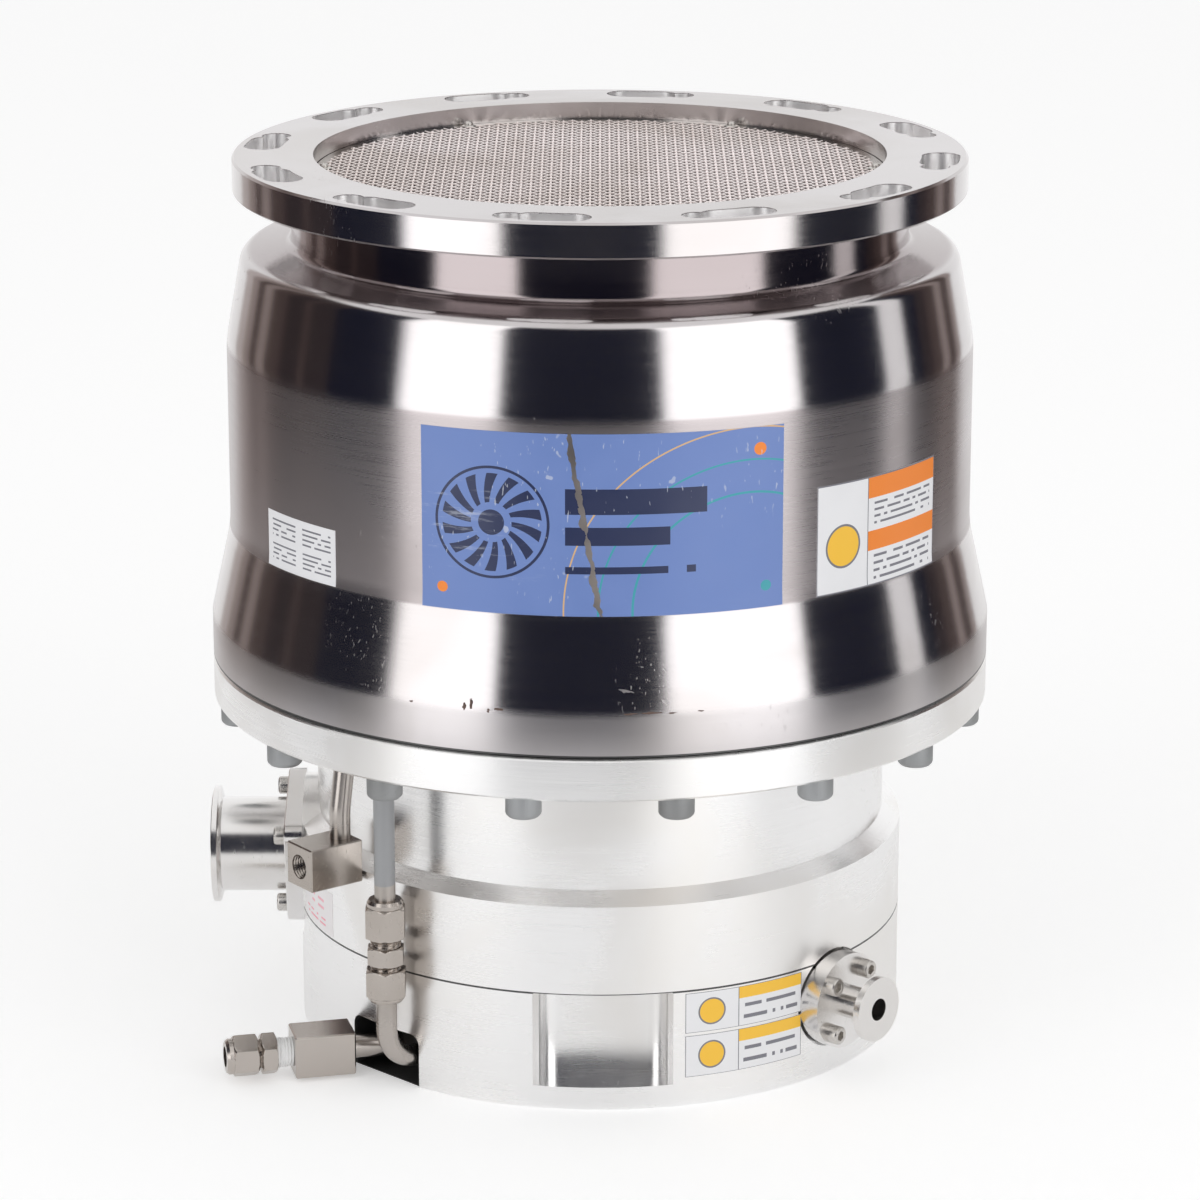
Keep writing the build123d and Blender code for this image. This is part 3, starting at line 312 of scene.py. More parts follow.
def port_piece(name, rows, angle):
    """Closed ring about the port's axis: rows of (x, radius or radii), a point at each angle."""
    points = [
        np.stack([0 * angle + x, r * np.cos(angle), port_z + r * np.sin(angle)], -1)
        for x, r in rows
    ]
    faces = grid_faces(len(rows), len(angle), close_rows=True)
    return make_piece(name, points, faces, "housing", "port_steel", 30)

angle = np.arange(240) * 2 * math.pi / 240
reach = rounded_square(55 * mm, 6 * mm, angle)
bore_mm, seat_x, soft = 20.6, -139.5 * mm, 0.5 * mm
plate_rows = [
    (seat_x, bore_mm * mm), (seat_x, reach), (soft - plate_x, reach), (-plate_x, reach - soft),
    (-plate_x, bore_mm * mm),
]
first_screw = outlet_places[0][0]
askew = math.atan2(first_screw[2] - port_z, first_screw[1]) - math.pi / 4
plate = port_piece("outlet_plate", plate_rows, angle + askew)
tube = port_piece(
    "outlet_tube",
    in_mm(
        [
            (-146, bore_mm), (-146, 22.25), (-178.6, 22.25), (-180, 27.2), (-180.3, 27.5),
            (-182.7, 27.5), (-183, 27.2), (-183, bore_mm),
        ]
    ),
    angle,
)
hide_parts("outlet_port")
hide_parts("outlet_port")

# %% [markdown]
# ## The inlet screen
# The screen is a plain weave of 1 mm wire: 4.4 mm apart one way and 3.5 mm the other. Each
# wire climbs over one crossing and dives under the next, so its height is a cosine of the way
# along it, and its neighbour has the opposite sign. All wires of one direction are one array.

# %% Woven screen with its frame
def wires(radius, pitch, crossing, thick, z, turn, sides=5, steps=4):
    """Wire k lies at k * pitch and has height thick / 2 * cos(pi * (s / crossing + k))."""
    count = int(radius / pitch)
    k = np.arange(-count, count + 1)
    half = np.sqrt(radius ** 2 - (k * pitch) ** 2)
    t = np.linspace(-1, 1, int(2 * radius / crossing) * steps + 1)
    s = half[:, None] * t[None, :]
    lift = np.cos(math.pi * (s / crossing + k[:, None])) * thick / 2 * (-1 if turn else 1)
    angle = np.arange(sides) * 2 * math.pi / sides
    a = np.broadcast_to(s[..., None], (*s.shape, sides))
    b = (k * pitch)[:, None, None] + thick / 2 * np.cos(angle) + 0 * a
    up = z + lift[..., None] + thick / 2 * np.sin(angle)
    points = np.stack([-b, a, up] if turn else [a, b, up], -1)
    tube = grid_faces(len(t), sides)[:, ::-1]
    ends = [list(range(sides)), list(range(len(t) * sides - 1, (len(t) - 1) * sides - 1, -1))]
    faces = []
    for wire in range(len(k)):
        first = wire * len(t) * sides
        faces += (tube + first).tolist() + [[v + first for v in end] for end in ends]
    return points, faces

screen_low, screen_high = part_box("inlet_screen")
mesh_z = (screen_low.z + screen_high.z) / 2
for name, pitch, crossing, turn in (
    ("screen_weft", 3.5, 4.42, False), ("screen_warp", 4.42, 3.5, True)
):
    points, faces = wires(126 * mm, pitch * mm, crossing * mm, 1.0 * mm, mesh_z, turn)
    wire_set = make_piece(name, points, faces, "housing", "screen_wire", 60)
    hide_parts("inlet_screen")
frame_rows = [
    (125.2 * mm, screen_low.z), (130.1 * mm, screen_low.z), (130.1 * mm, screen_high.z),
    (125.2 * mm, screen_high.z),
]
turned_piece(
    "screen_frame", frame_rows, [((0, 0, 0), (0, 0, 1))], "housing", "clip_steel", 180, closed=True
)

# %% Screen screws on dished washers
clip_places = [
    (spot(b, 125.8 * mm, screen_high.z), (0, 0, 1)) for b in (30, 90, 150, 210, 270, 330)
]
washer_rows = [
    (0, 0), (3.4 * mm, 0), (3.5 * mm, 0.3 * mm), (2.4 * mm, 0.8 * mm), (2.1 * mm, 0.8 * mm),
    (2.0 * mm, 1.6 * mm), (1.5 * mm, 2.2 * mm), (0.7 * mm, 2.4 * mm), (0.5 * mm, 1.9 * mm),
    (0, 1.9 * mm),
]
screen_clips = turned_piece("screen_clips", washer_rows, clip_places, "housing", "clip_steel", 32)
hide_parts("screen_screws")

# %% [markdown]
# ## Cooling water fittings
# Compression fittings hold the pipes: two nuts on a threaded body. The chamfer on a nut is the
# meeting of a cone and a hexagon, which draws the curved edges that a real nut has.

# %% Union on the flange pipe
pipe_mm = 4.75  # radius

def nut(name, flats, length, bore, place):
    """A hexagon nut; its sizes are in millimetres."""
    rows = nut_rows(flats * mm, length * mm, bore * mm)
    return turned_piece(name, rows, [place], "housing", "fitting_steel", 96)

def collar(name, rows, place):
    """The round shoulder at the end of a nut; its rows are in millimetres."""
    turned_piece(name, in_mm(rows), [place], "housing", "fitting_steel", 64, closed=True)

union = spot(38.7, 154.5 * mm, 0)
at = lambda z: (union + np.array([0, 0, z * mm]), (0, 0, 1))
upper = nut("union_nut_top", 17.5, 15, pipe_mm, at(75))
collar(
    "union_collar_top", [(pipe_mm, 0), (8.3, 0), (8.3, 1.8), (7.4, 3.2), (pipe_mm, 3.4)], at(90)
)
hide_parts("union_upper_nut")
middle = nut("union_middle", 16, 8.5, 3.55, at(62.5))
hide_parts("union_body")
lower = nut("union_nut_low", 17.5, 13, pipe_mm, at(47.2))
collar(
    "union_collar_low", [(pipe_mm, 0), (7.4, 0.2), (8.3, 1.4), (8.3, 2.5), (pipe_mm, 2.5)], at(44.7)
)
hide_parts("union_lower_nut")

# %% Threads seen between the nuts
def thread_piece(name, length, place, radius=7.1 * mm, pitch=1.27 * mm):
    """A thread closed at both ends by a disc."""
    grid = thread_grid(radius, pitch * 0.55, pitch, length)
    middle = np.zeros((1, grid.shape[1], 3))
    grid = np.concatenate([middle, grid, middle + [0, 0, length]])
    faces = grid_faces(*grid.shape[:2])
    return make_piece(name, placed(grid, [place]), faces, "housing", "fitting_steel", 50)

thread_piece("union_thread_top", 4.5 * mm, at(70.8))
thread_piece("union_thread_low", 3.0 * mm, at(59.8))

# %% Hose fitting beside the floor
block = np.array([-127.5, -97.3, 12.0]) * mm
away = -np.array([math.cos(math.radians(13.4)), math.sin(math.radians(13.4)), 0])
along = lambda d: (block + away * d * mm, away)
hose_hex = nut("hose_hexagon", 17.5, 7.2, 5.0, along(21.6))
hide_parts("hose_fitting")
hose_cap = nut("hose_nut_body", 17.5, 11.5, pipe_mm, along(30.2))
collar(
    "hose_nut_collar", [(pipe_mm, 0), (8.3, 0), (8.3, 1.9), (7.3, 3.2), (pipe_mm, 3.3)], along(41.7)
)
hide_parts("hose_nut")
thread_piece("hose_thread", 3.0 * mm, along(28.0))

# %% [markdown]
# Thread tape is a thin white film wound round the taper thread. It follows the thread but
# softens it, and its edges ride up a little, so its radius is a gentle wave plus low noise.

# %% Thread tape
def tape_grid(radius, length, turns, rows, segments):
    """A taper of 5 percent plus 0.22 mm * sin(2 pi * turns * t + angle) and two finer waves."""
    angle = np.linspace(0, 2 * math.pi, segments, endpoint=False)[None, :]
    t = np.linspace(0, 1, rows)[:, None]
    wave = 0.22 * np.sin(2 * math.pi * turns * t + angle)
    wave = wave + 0.10 * np.sin(5 * angle + 17 * t) + 0.07 * np.sin(11 * angle - 31 * t)
    r = radius * (1 + 0.05 * t) + wave * mm
    r[-1], r[0] = 5 * mm, 5 * mm
    return np.stack([r * np.cos(angle), r * np.sin(angle), length * t + 0 * angle], -1)

make_piece(
    "thread_tape", placed(tape_grid(6.5 * mm, 7.9 * mm, 5.5, 44, 72), [along(13.9)]),
    grid_faces(44, 72, close_rows=True), "housing", "tape_film", 60,
)

# %% Thread inside the water outlet
outlet_bearing, face_distance, outlet_z = 53, 170.4 * mm, 102 * mm
block_face = spot(outlet_bearing, face_distance, outlet_z)
inner = thread_grid(5.68 * mm, 0.5 * mm, 1.34 * mm, 12.4 * mm)[:, ::-1]
make_piece(
    "water_outlet_thread", placed(inner, [(block_face, -outwards(outlet_bearing))]),
    grid_faces(*inner.shape[:2]), "housing", "fitting_steel", 50,
)

# %% [markdown]
# ## Labels
# The labels are thin film on a round wall, so each is a patch of a cylinder: one parameter is
# the bearing, the other the height. They carry no words. Bars of colour keep their look.

# %% Curved plates
def wrap_plate(
    name, radius, first, last, low, high, slot, thick=0.15 * mm, ripple=0.0, cols=48, rows=12,
):
    """Patch of a cylinder with thickness: an outer and an inner grid, joined round the edge."""
    u, v = np.meshgrid(np.linspace(0, 1, cols), np.linspace(0, 1, rows))
    bearing = np.radians(first + (last - first) * u)
    z = low + (high - low) * v
    skins = []
    for lift in (thick, -0.2 * mm):
        r = (radius(z) if callable(radius) else radius) + lift + (
            ripple * np.sin(9 * u + 4 * v) * np.sin(7 * v) if lift > 0 else 0
        )
        skins.append(np.stack([-r * np.sin(bearing), -r * np.cos(bearing), z], -1))
    count = rows * cols
    top = grid_faces(rows, cols, close_cols=False)
    edge = np.concatenate(
        [
            np.arange(cols), cols * np.arange(1, rows) + cols - 1, count - 2 - np.arange(cols - 1),
            cols * np.arange(rows - 2, 0, -1),
        ]
    )
    after = np.roll(edge, -1)
    rim = np.stack([edge + count, after + count, after, edge], -1)
    faces = np.concatenate([top, top[:, ::-1] + count, rim])
    uv = np.concatenate([np.stack([u, v], -1).reshape(-1, 2)] * 2)
    return make_piece(
        name, np.concatenate([s.reshape(-1, 3) for s in skins]), faces, "housing", slot, 40, uv
    )

drum_r = 141.7 * mm

def body_r(z):
    """Casing: a cylinder that runs into the flare through an arc of 60 mm, from 246.6 mm down."""
    deep = np.clip(246.6 * mm - z, 0, 13 * mm)
    return 231.5 * mm - np.sqrt((60 * mm) ** 2 - deep ** 2)

wrap_plate("label_blue", body_r, 26.6, -27.4, 240.0 * mm, 320.6 * mm, "label_blue")
wrap_plate("label_small", body_r, 59.5, 42.5, 240.5 * mm, 266 * mm, "label_white")
wrap_plate("label_orange", body_r, -33.3, -59.9, 240.5 * mm, 290 * mm, "label_orange")
wrap_plate("label_yellow_upper", drum_r, -15.7, -40.2, 34.6 * mm, 53.6 * mm, "label_yellow")
wrap_plate("label_yellow_lower", drum_r, -15.7, -40.2, 13.5 * mm, 33.2 * mm, "label_yellow")
wrap_plate(
    "stamp_film", drum_r, 76.5, 60.5, 56 * mm, 77 * mm, "stamp_film", 0.06 * mm, 0.05 * mm,
)

# %% [markdown]
# The two water pipes enter the base through a recess, and an open black box in the rubber finish
# paints its shade: a rounded outline is carried inwards, closed over the back, and carried out
# again.

# %% Black box of painted shade in the pipe recess
def painted_shade_box(width, height, corner, front, back, skin, bearing):
    """Rows: outline at the mouth, at the back, its centre, then the same one skin further in."""
    turns = np.radians(np.arange(0, 91, 15))
    def outline(inset):
        w, h = width / 2 - inset, height - inset
        corners = []
        for side, top, start in ((1, 1, 0), (-1, 1, 90), (-1, 0, 180), (1, 0, 270)):
            r = corner - inset if top else 0.3 * mm
            x, z = side * (w - r), (h - r if top else inset + r)
            a = turns + math.radians(start)
            corners.append(np.stack([x + r * np.cos(a), z + r * np.sin(a)], -1))
        return np.concatenate(corners)
    rows = []
    for inset, depth in (
        (0, front), (0, back), (None, back), (None, back + skin), (skin, back + skin), (skin, front)
    ):
        flat = np.tile([[0, height / 2]], (len(outline(0)), 1)) if inset is None else outline(inset)
        rows.append(np.concatenate([flat, np.full((len(flat), 1), depth)], 1))
    grid = np.array(rows)
    points = grid @ np.array([across_from(bearing), (0, 0, 1.0), outwards(bearing)])
    return points, grid_faces(*grid.shape[:2], close_rows=True)

points, faces = painted_shade_box(42.8 * mm, 24.9 * mm, 5 * mm, 139 * mm, 121.75 * mm, 0.5 * mm, 44.3)
# Painted shade: a black box in the seal_rubber finish darkens the pipe recess.
make_piece("pipe_recess_painted_shade", points, faces, "housing", "seal_rubber", 40)

# %% [markdown]
# ## Knocks and chips
# The lower lip of the casing has chips where it was set down hard. Each is a lens a few
# hundredths of a millimetre high with a ragged outline, bedded in the surface.

# %% Chips on the lip
def chips(name, marks, slot, seed):
    """marks are (bearing, z, radius at z, width, height); outline = 1 + noise of the angle."""
    rng = np.random.default_rng(seed)
    points, faces = [], []
    for bearing, z, radius, width, height in marks:
        n, base = 14, len(points)
        angle = np.linspace(0, 2 * math.pi, n, endpoint=False)
        reach = 0.55 + 0.45 * rng.random(n)
        side, up = reach * np.cos(angle) * width / 2, reach * np.sin(angle) * height / 2
        for s, h, lift in [*zip(side, up, [0.02 * mm] * n), (0, 0, 0.10 * mm), (0, 0, -0.4 * mm)]:
            points.append(spot(bearing - math.degrees(s / radius), radius + lift, z + h))
        faces += [(base + k, base + (k + 1) % n, base + n) for k in range(n)]
        faces += [(base + (k + 1) % n, base + k, base + n + 1) for k in range(n)]
    return make_piece(name, points, faces, "housing", slot, 50)

lip = [
    (b, 199 + h, 180.6, w, t)
    for b, h, w, t in [
        (27, -0.5, 3, 1.5), (19, 0, 2, 5), (18, 1, 1.5, 8), (15.5, -1, 3, 3), (14, 0.4, 5, 1.5),
        (-4, -0.5, 9, 1.6), (-7, -0.2, 11, 1.8), (-10, -0.6, 8, 1.2), (-14, -0.4, 4, 1.2),
    ]
]
chips("lip_chips", [(b, z * mm, r * mm, w * mm, t * mm) for b, z, r, w, t in lip], "chip_rust", 3)

# %% [markdown]
# ## Finishes
# Most of this pump is bare steel and aluminium, so what sets one piece from another is not
# colour but how it was cut: fine rings from the lathe, a rubbed satin, a drawn tube's tarnish.
# Three shader groups make those effects once, and each metal uses them with its own numbers.

# %% Node helpers
finishes = {}  # the recipes below enter their materials here

def new_material(name):
    """A material, its node tree and its main shader."""
    made = bpy.data.materials.new(name)
    made.use_nodes = True
    return made, made.node_tree, made.node_tree.nodes["Principled BSDF"]

def put(tree, kind, links=None, **props):
    """Adds a node; links maps a socket name or number to a value or to another node's output."""
    made = tree.nodes.new(kind)
    for key, value in props.items():
        setattr(made, key, value)
    for key, value in (links or {}).items():
        socket = made.inputs[key]
        if isinstance(value, bpy.types.NodeSocket):
            tree.links.new(value, socket)
        else:
            socket.default_value = value
    return made

def math_node(tree, operation, a, b=0.0, clamp=False):
    """Result of one Math node."""
    return put(
        tree, "ShaderNodeMath", {0: a, 1: b}, operation=operation, use_clamp=clamp
    ).outputs[0]

def times(tree, a, b):
    """Product of two values."""
    return math_node(tree, "MULTIPLY", a, b)

def plus(tree, a, b):
    """Sum of two values."""
    return math_node(tree, "ADD", a, b)

def minus(tree, a, b):
    """The first value less the second."""
    return math_node(tree, "SUBTRACT", a, b)

def ramp(tree, value, low, high, out_low=0.0, out_high=1.0):
    """Smooth step of a value between two limits."""
    made = put(
        tree, "ShaderNodeMapRange",
        {"Value": value, "From Min": low, "From Max": high, "To Min": out_low, "To Max": out_high},
        interpolation_type="SMOOTHSTEP",
    )
    return made.outputs["Result"]

def between(tree, value, low, high):
    """1 where low < value < high, else 0."""
    return times(
        tree, math_node(tree, "GREATER_THAN", value, low),
        math_node(tree, "LESS_THAN", value, high),
    )

def blend(tree, factor, first, second):
    """From the first colour to the second; each is three numbers or a node's output."""
    first, second = (
        c if isinstance(c, bpy.types.NodeSocket) else (*c, 1) for c in (first, second)
    )
    return put(
        tree, "ShaderNodeMix", {"Factor": factor, 6: first, 7: second}, data_type="RGBA"
    ).outputs[2]

def noise(tree, vector, scale, detail, **more):
    """Value of a noise texture."""
    links = {"Vector": vector, "Scale": scale, "Detail": detail}
    links.update({key.title(): value for key, value in more.items()})
    return put(tree, "ShaderNodeTexNoise", links).outputs[0]

def mapped(tree, vector, **moves):
    """Vector after a Mapping node."""
    links = {"Vector": vector, **{key.title(): value for key, value in moves.items()}}
    return put(tree, "ShaderNodeMapping", links).outputs[0]

def new_group(name, inputs, output):
    """An empty shader group: returns the tree, its inputs by name and its output socket."""
    tree = bpy.data.node_groups.new(name, "ShaderNodeTree")
    for label in inputs:
        kind = "NodeSocketVector" if label == "Vector" else "NodeSocketFloat"
        tree.interface.new_socket(name=label, in_out="INPUT", socket_type=kind)
    tree.interface.new_socket(name=output, in_out="OUTPUT", socket_type="NodeSocketFloat")
    into, out = tree.nodes.new("NodeGroupInput"), tree.nodes.new("NodeGroupOutput")
    return tree, into.outputs, out.inputs[output]

def use(tree, group, **links):
    """Output of a shader group with these inputs."""
    named = {key.title(): value for key, value in links.items()}
    return put(tree, "ShaderNodeGroup", named, node_tree=group).outputs[0]

# %% Group: rings left by the lathe
rings, into, result = new_group("lathe_rings", ["Vector", "Lines"], "Rings")
flat = put(
    rings, "ShaderNodeVectorMath", {0: into["Vector"], 1: (1, 1, 0)}, operation="MULTIPLY"
).outputs[0]
radius = put(rings, "ShaderNodeVectorMath", {0: flat}, operation="LENGTH").outputs["Value"]
turn = put(
    rings, "ShaderNodeSeparateXYZ",
    {0: put(rings, "ShaderNodeVectorMath", {0: flat}, operation="NORMALIZE").outputs[0]},
)
height = put(rings, "ShaderNodeSeparateXYZ", {0: into["Vector"]}).outputs["Z"]
place = put(
    rings, "ShaderNodeCombineXYZ",
    {
        0: times(rings, plus(rings, height, radius), into["Lines"]),
        1: times(rings, turn.outputs[0], 2.5), 2: times(rings, turn.outputs[1], 2.5),
    },
)
rings.links.new(noise(rings, place.outputs[0], 1.0, 4.0, roughness=0.75), result)

# %% Group: short scratches
scratches, into, result = new_group("scratches", ["Vector", "Scale", "Share"], "Mask")
masks = []
for stretch, turn_by in (((1, 14, 2), (0.3, 0.5, 0.9)), ((12, 1, 3), (0.9, 0.2, 0.4))):
    drawn = mapped(scratches, into["Vector"], rotation=turn_by, scale=stretch)
    masks.append(ramp(scratches, noise(scratches, drawn, into["Scale"], 2.0), 0.69, 0.72))
patch = plus(scratches, noise(scratches, into["Vector"], 14.0, 1.0), into["Share"])
both = math_node(scratches, "MAXIMUM", *masks)
scratches.links.new(times(scratches, both, ramp(scratches, patch, 0.55, 0.7)), result)

# %% Group: smudges and stains
smudges, into, result = new_group("smudges", ["Vector", "Scale"], "Mask")
broad = noise(smudges, into["Vector"], into["Scale"], 3.0, distortion=0.6)
smudges.links.new(ramp(smudges, broad, 0.38, 0.68), result)

# %% Metal recipe
def metal(
    name, colour, rough, lines=900, line_depth=0.0, ring_rough=0.10, smudge=0.05, stain=0.10,
    scuff=0.0, anisotropic=0.0, about=None, satin=(), coat=None, seam=(), bright=None, shade=(),
):
    """Bare metal: rings vary roughness and height, smudges dull it, scratches cross it.

    about = (origin, turns) winds the rings about another axis than the rotor's. The rest are
    zones by height: shade = (low, high, share of a darker tint) is painted shade, satin = (low,
    high, extra roughness), coat = (height at which paint starts, its colour), seam = heights of
    dark joint lines, and bright = (low, high, near, far) the pale walls of holes between two radii.
    """
    made, tree, shader = new_material(name)
    shader.inputs["Metallic"].default_value = 1.0
    vector = put(tree, "ShaderNodeTexCoord").outputs["Object"]
    axes = put(tree, "ShaderNodeSeparateXYZ", {0: vector}).outputs
    level, zone_edge, half_line = axes["Z"], 0.0008, 0.00045
    centred = vector
    if about:
        origin, turn_by = about
        centred = mapped(tree, vector, location=[-v for v in origin])
        centred = mapped(tree, centred, rotation=turn_by)
    ring = use(tree, rings, vector=centred, lines=lines)
    smear = use(tree, smudges, vector=vector, scale=11.0)
    scratch = use(tree, scratches, vector=vector, scale=110.0, share=scuff)
    dark = [c * (1 - stain) * t for c, t in zip(colour, (1.0, 0.985, 0.96))]
    tone = blend(tree, smear, colour, dark)
    # Painted shade: each band by height blends towards a darker, browner tint.
    for low, high, share in shade:
        zone = times(
            tree, ramp(tree, level, low - zone_edge, low + zone_edge, 0.0, share),
            ramp(tree, level, high - zone_edge, high + zone_edge, 1.0, 0.0),
        )
        tone = blend(tree, zone, tone, [c * t for c, t in zip(colour, (0.56, 0.50, 0.50))])
    for height in seam:
        gap = math_node(tree, "ABSOLUTE", minus(tree, level, height))
        line = math_node(tree, "LESS_THAN", gap, half_line)
        tone = blend(tree, line, tone, (0.10, 0.10, 0.10))
    if coat:
        above, paint = coat
        ragged = plus(tree, level, times(tree, smear, 0.0012))
        coated = ramp(tree, ragged, above, above + 0.0006)
        tone = blend(tree, coated, tone, paint)
        bare = minus(tree, 1.0, times(tree, coated, 0.8))
        tree.links.new(bare, shader.inputs["Metallic"])
    r = plus(tree, times(tree, minus(tree, ring, 0.5), ring_rough * 2), rough)
    if bright:
        low, high, near, far = bright
        flat = put(tree, "ShaderNodeCombineXYZ", {0: axes["X"], 1: axes["Y"]}).outputs[0]
        reach = put(tree, "ShaderNodeVectorMath", {0: flat}, operation="LENGTH").outputs["Value"]
        cut = times(tree, between(tree, level, low, high), between(tree, reach, near, far))
        tone = blend(tree, cut, tone, (0.96, 0.95, 0.95))
        r = plus(tree, r, times(tree, cut, 0.22))
    tree.links.new(tone, shader.inputs["Base Color"])
    r = plus(tree, r, times(tree, smear, smudge))
    r = math_node(tree, "ADD", r, times(tree, scratch, 0.25), clamp=True)
    for low, high, more in satin:
        band = times(
            tree, ramp(tree, level, low - zone_edge, low + zone_edge),
            ramp(tree, level, high - 0.003, high + 0.003, 1.0, 0.0),
        )
        r = plus(tree, r, times(tree, band, more))
    tree.links.new(r, shader.inputs["Roughness"])
    deep = minus(tree, times(tree, ring, line_depth), times(tree, scratch, 0.6))
    bump = put(tree, "ShaderNodeBump", {"Strength": 0.35, "Distance": 0.00005, "Height": deep})
    tree.links.new(bump.outputs[0], shader.inputs["Normal"])
    if anisotropic:
        shader.inputs["Anisotropic"].default_value = anisotropic
        shader.inputs["Anisotropic Rotation"].default_value = 0.25
        round_axis = put(tree, "ShaderNodeTangent", {}, direction_type="RADIAL", axis="Z")
        tree.links.new(round_axis.outputs[0], shader.inputs["Tangent"])
    finishes[name] = made

# On the casing, shade paints shade on the label band and on the neck under the flange.
metal(
    "casing_steel", (0.60, 0.572, 0.578), 0.15, 1500, 1.0, 0.06, 0.03, 0.10, 0.003, 0.75,
    satin=((0.240, 0.326, 0.13), (0.170, 0.1985, 0.20)), seam=(0.1793,),
    bright=(0.3955, 0.4106, 0.140, 0.1668), shade=((0.240, 0.326, 0.55), (0.368, 0.3948, 0.85)),
)
metal(
    "base_metal", (0.93, 0.925, 0.925), 0.25, 1100, 0.6, 0.08, 0.08, 0.04, 0.0, 0.4,
    seam=(0.0548, 0.1786),
)
metal("bolt_steel", (0.42, 0.43, 0.44), 0.50, 900, 0.3, 0.05, 0.1, 0.2)
metal("clip_steel", (0.66, 0.64, 0.62), 0.25, 2500, 0.5)
metal(
    "port_steel", (0.86, 0.85, 0.85), 0.17, 1800, 1.2, 0.10,
    about=((0, 0, 0.078), (0, math.pi / 2, 0)),
)
metal("pipe_steel", (0.50, 0.46, 0.43), 0.24, 600, 0.2, 0.06, 0.12, 0.22)
metal(
    "pipe_coated", (0.56, 0.52, 0.49), 0.30, 600, 0.2, 0.06, 0.12, 0.22,
    coat=(0.101, (0.33, 0.335, 0.345)),
)
metal(
    "fitting_steel", (0.53, 0.485, 0.45), 0.18, 1600, 0.5, 0.06, 0.10, 0.18, 0.03,
)
metal("rotor_alloy", (0.62, 0.62, 0.63), 0.3, 1200, 0.8)
metal("stator_alloy", (0.55, 0.55, 0.56), 0.35, 1200, 0.5)
metal("ring_alloy", (0.60, 0.60, 0.61), 0.35, 1500, 1.0)
metal("column_alloy", (0.55, 0.55, 0.56), 0.4, 900, 0.8)
metal("core_steel", (0.22, 0.23, 0.25), 0.45, 3000, 1.5)
metal("winding_copper", (0.72, 0.30, 0.14), 0.35, 2500, 2.0)
metal("shaft_steel", (0.58, 0.58, 0.60), 0.18, 2500, 0.4)
metal("bearing_steel", (0.75, 0.75, 0.76), 0.12, 2500, 0.4)
metal(
    "socket_metal", (0.62, 0.62, 0.63), 0.3, 2000, 0.8,
    about=((0, 0, 0.032), (math.pi / 2, 0, 0)),
)
metal("screen_wire", (0.96, 0.89, 0.88), 0.34, 300, 0.2, 0.05, 0.10, 0.10)
metal("magnet_dark", (0.10, 0.10, 0.11), 0.45, 900, 0.5)
print(len(finishes), "metals")

# %% Rubber, plastic, tape and rust
def plain_stuff(name, colour, rough, bump=0.2, scale=300.0, spread=0.15):
    """Non-metal: a base colour with fine mottling, its roughness and grain from one noise."""
    made, tree, shader = new_material(name)
    vector = put(tree, "ShaderNodeTexCoord").outputs["Object"]
    grain = noise(tree, vector, scale, 3.0)
    tone = blend(tree, grain, [c * (1 - spread) for c in colour], colour)
    tree.links.new(tone, shader.inputs["Base Color"])
    gloss = ramp(tree, grain, 0.3, 0.7, rough - 0.06, rough + 0.06)
    tree.links.new(gloss, shader.inputs["Roughness"])
    lift = put(tree, "ShaderNodeBump", {"Strength": bump, "Distance": 0.0002, "Height": grain})
    tree.links.new(lift.outputs[0], shader.inputs["Normal"])
    finishes[name] = made

plain_stuff("seal_rubber", (0.03, 0.03, 0.03), 0.6)
plain_stuff("socket_plastic", (0.03, 0.03, 0.035), 0.45)
plain_stuff("tape_film", (0.86, 0.86, 0.86), 0.4, 0.5, 900.0, 0.06)
plain_stuff("chip_rust", (0.16, 0.10, 0.08), 0.6, 0.8, 1800.0, 0.5)

# %% [markdown]
# Printed film is plain colour under a thin gloss. The print is worked out from the piece's own
# UV map, which runs from 0 to 1 across it and up it. A bar is a range of U and V, a disc or a
# ring is a range of distance from a point, a fan wheel is a stripe of angle plus distance, and
# rows of print are stripes of V broken up by noise, so that nothing can be read.

# %% Marks of a print
def bar(tree, u, v, u0, u1, v0, v1):
    """Plain rectangle."""
    return times(tree, between(tree, u, u0, u1), between(tree, v, v0, v1))

def ring_mark(tree, u, v, cu, cv, inner, outer, shape):
    """Ring round (cu, cv): radii in heights of the label; shape = width over height."""
    du, dv = times(tree, minus(tree, u, cu), shape), minus(tree, v, cv)
    reach = math_node(tree, "SQRT", plus(tree, times(tree, du, du), times(tree, dv, dv)))
    return between(tree, reach, inner, outer), math_node(tree, "ARCTAN2", dv, du), reach

def fan_mark(tree, u, v, cu, cv, inner, outer, shape, blades=14):
    """Blades of a fan wheel: fraction(blades * angle / 2 pi + 3 * reach) below one half."""
    band, angle, reach = ring_mark(tree, u, v, cu, cv, inner, outer, shape)
    turn = plus(tree, times(tree, angle, blades / (2 * math.pi)), times(tree, reach, 3.0))
    blade = math_node(tree, "LESS_THAN", math_node(tree, "FRACT", turn), 0.5)
    return times(tree, band, blade)

def print_rows(tree, u, v, u0, u1, v0, v1, rows, words):
    """Rows of dashes: stripes of v, cut into dashes where cell noise of (u, row) is high."""
    row = times(tree, minus(tree, v, v0), rows / (v1 - v0))
    stripe = between(tree, math_node(tree, "FRACT", row), 0.3, 0.66)
    cell = put(
        tree, "ShaderNodeCombineXYZ",
        {0: math_node(tree, "FLOOR", times(tree, u, words)), 1: math_node(tree, "FLOOR", row)},
    )
    chance = put(
        tree, "ShaderNodeTexWhiteNoise", {"Vector": cell.outputs[0]}, noise_dimensions="3D"
    ).outputs["Value"]
    dashes = times(tree, stripe, math_node(tree, "GREATER_THAN", chance, 0.22))
    return times(tree, dashes, bar(tree, u, v, u0, u1, v0, v1))

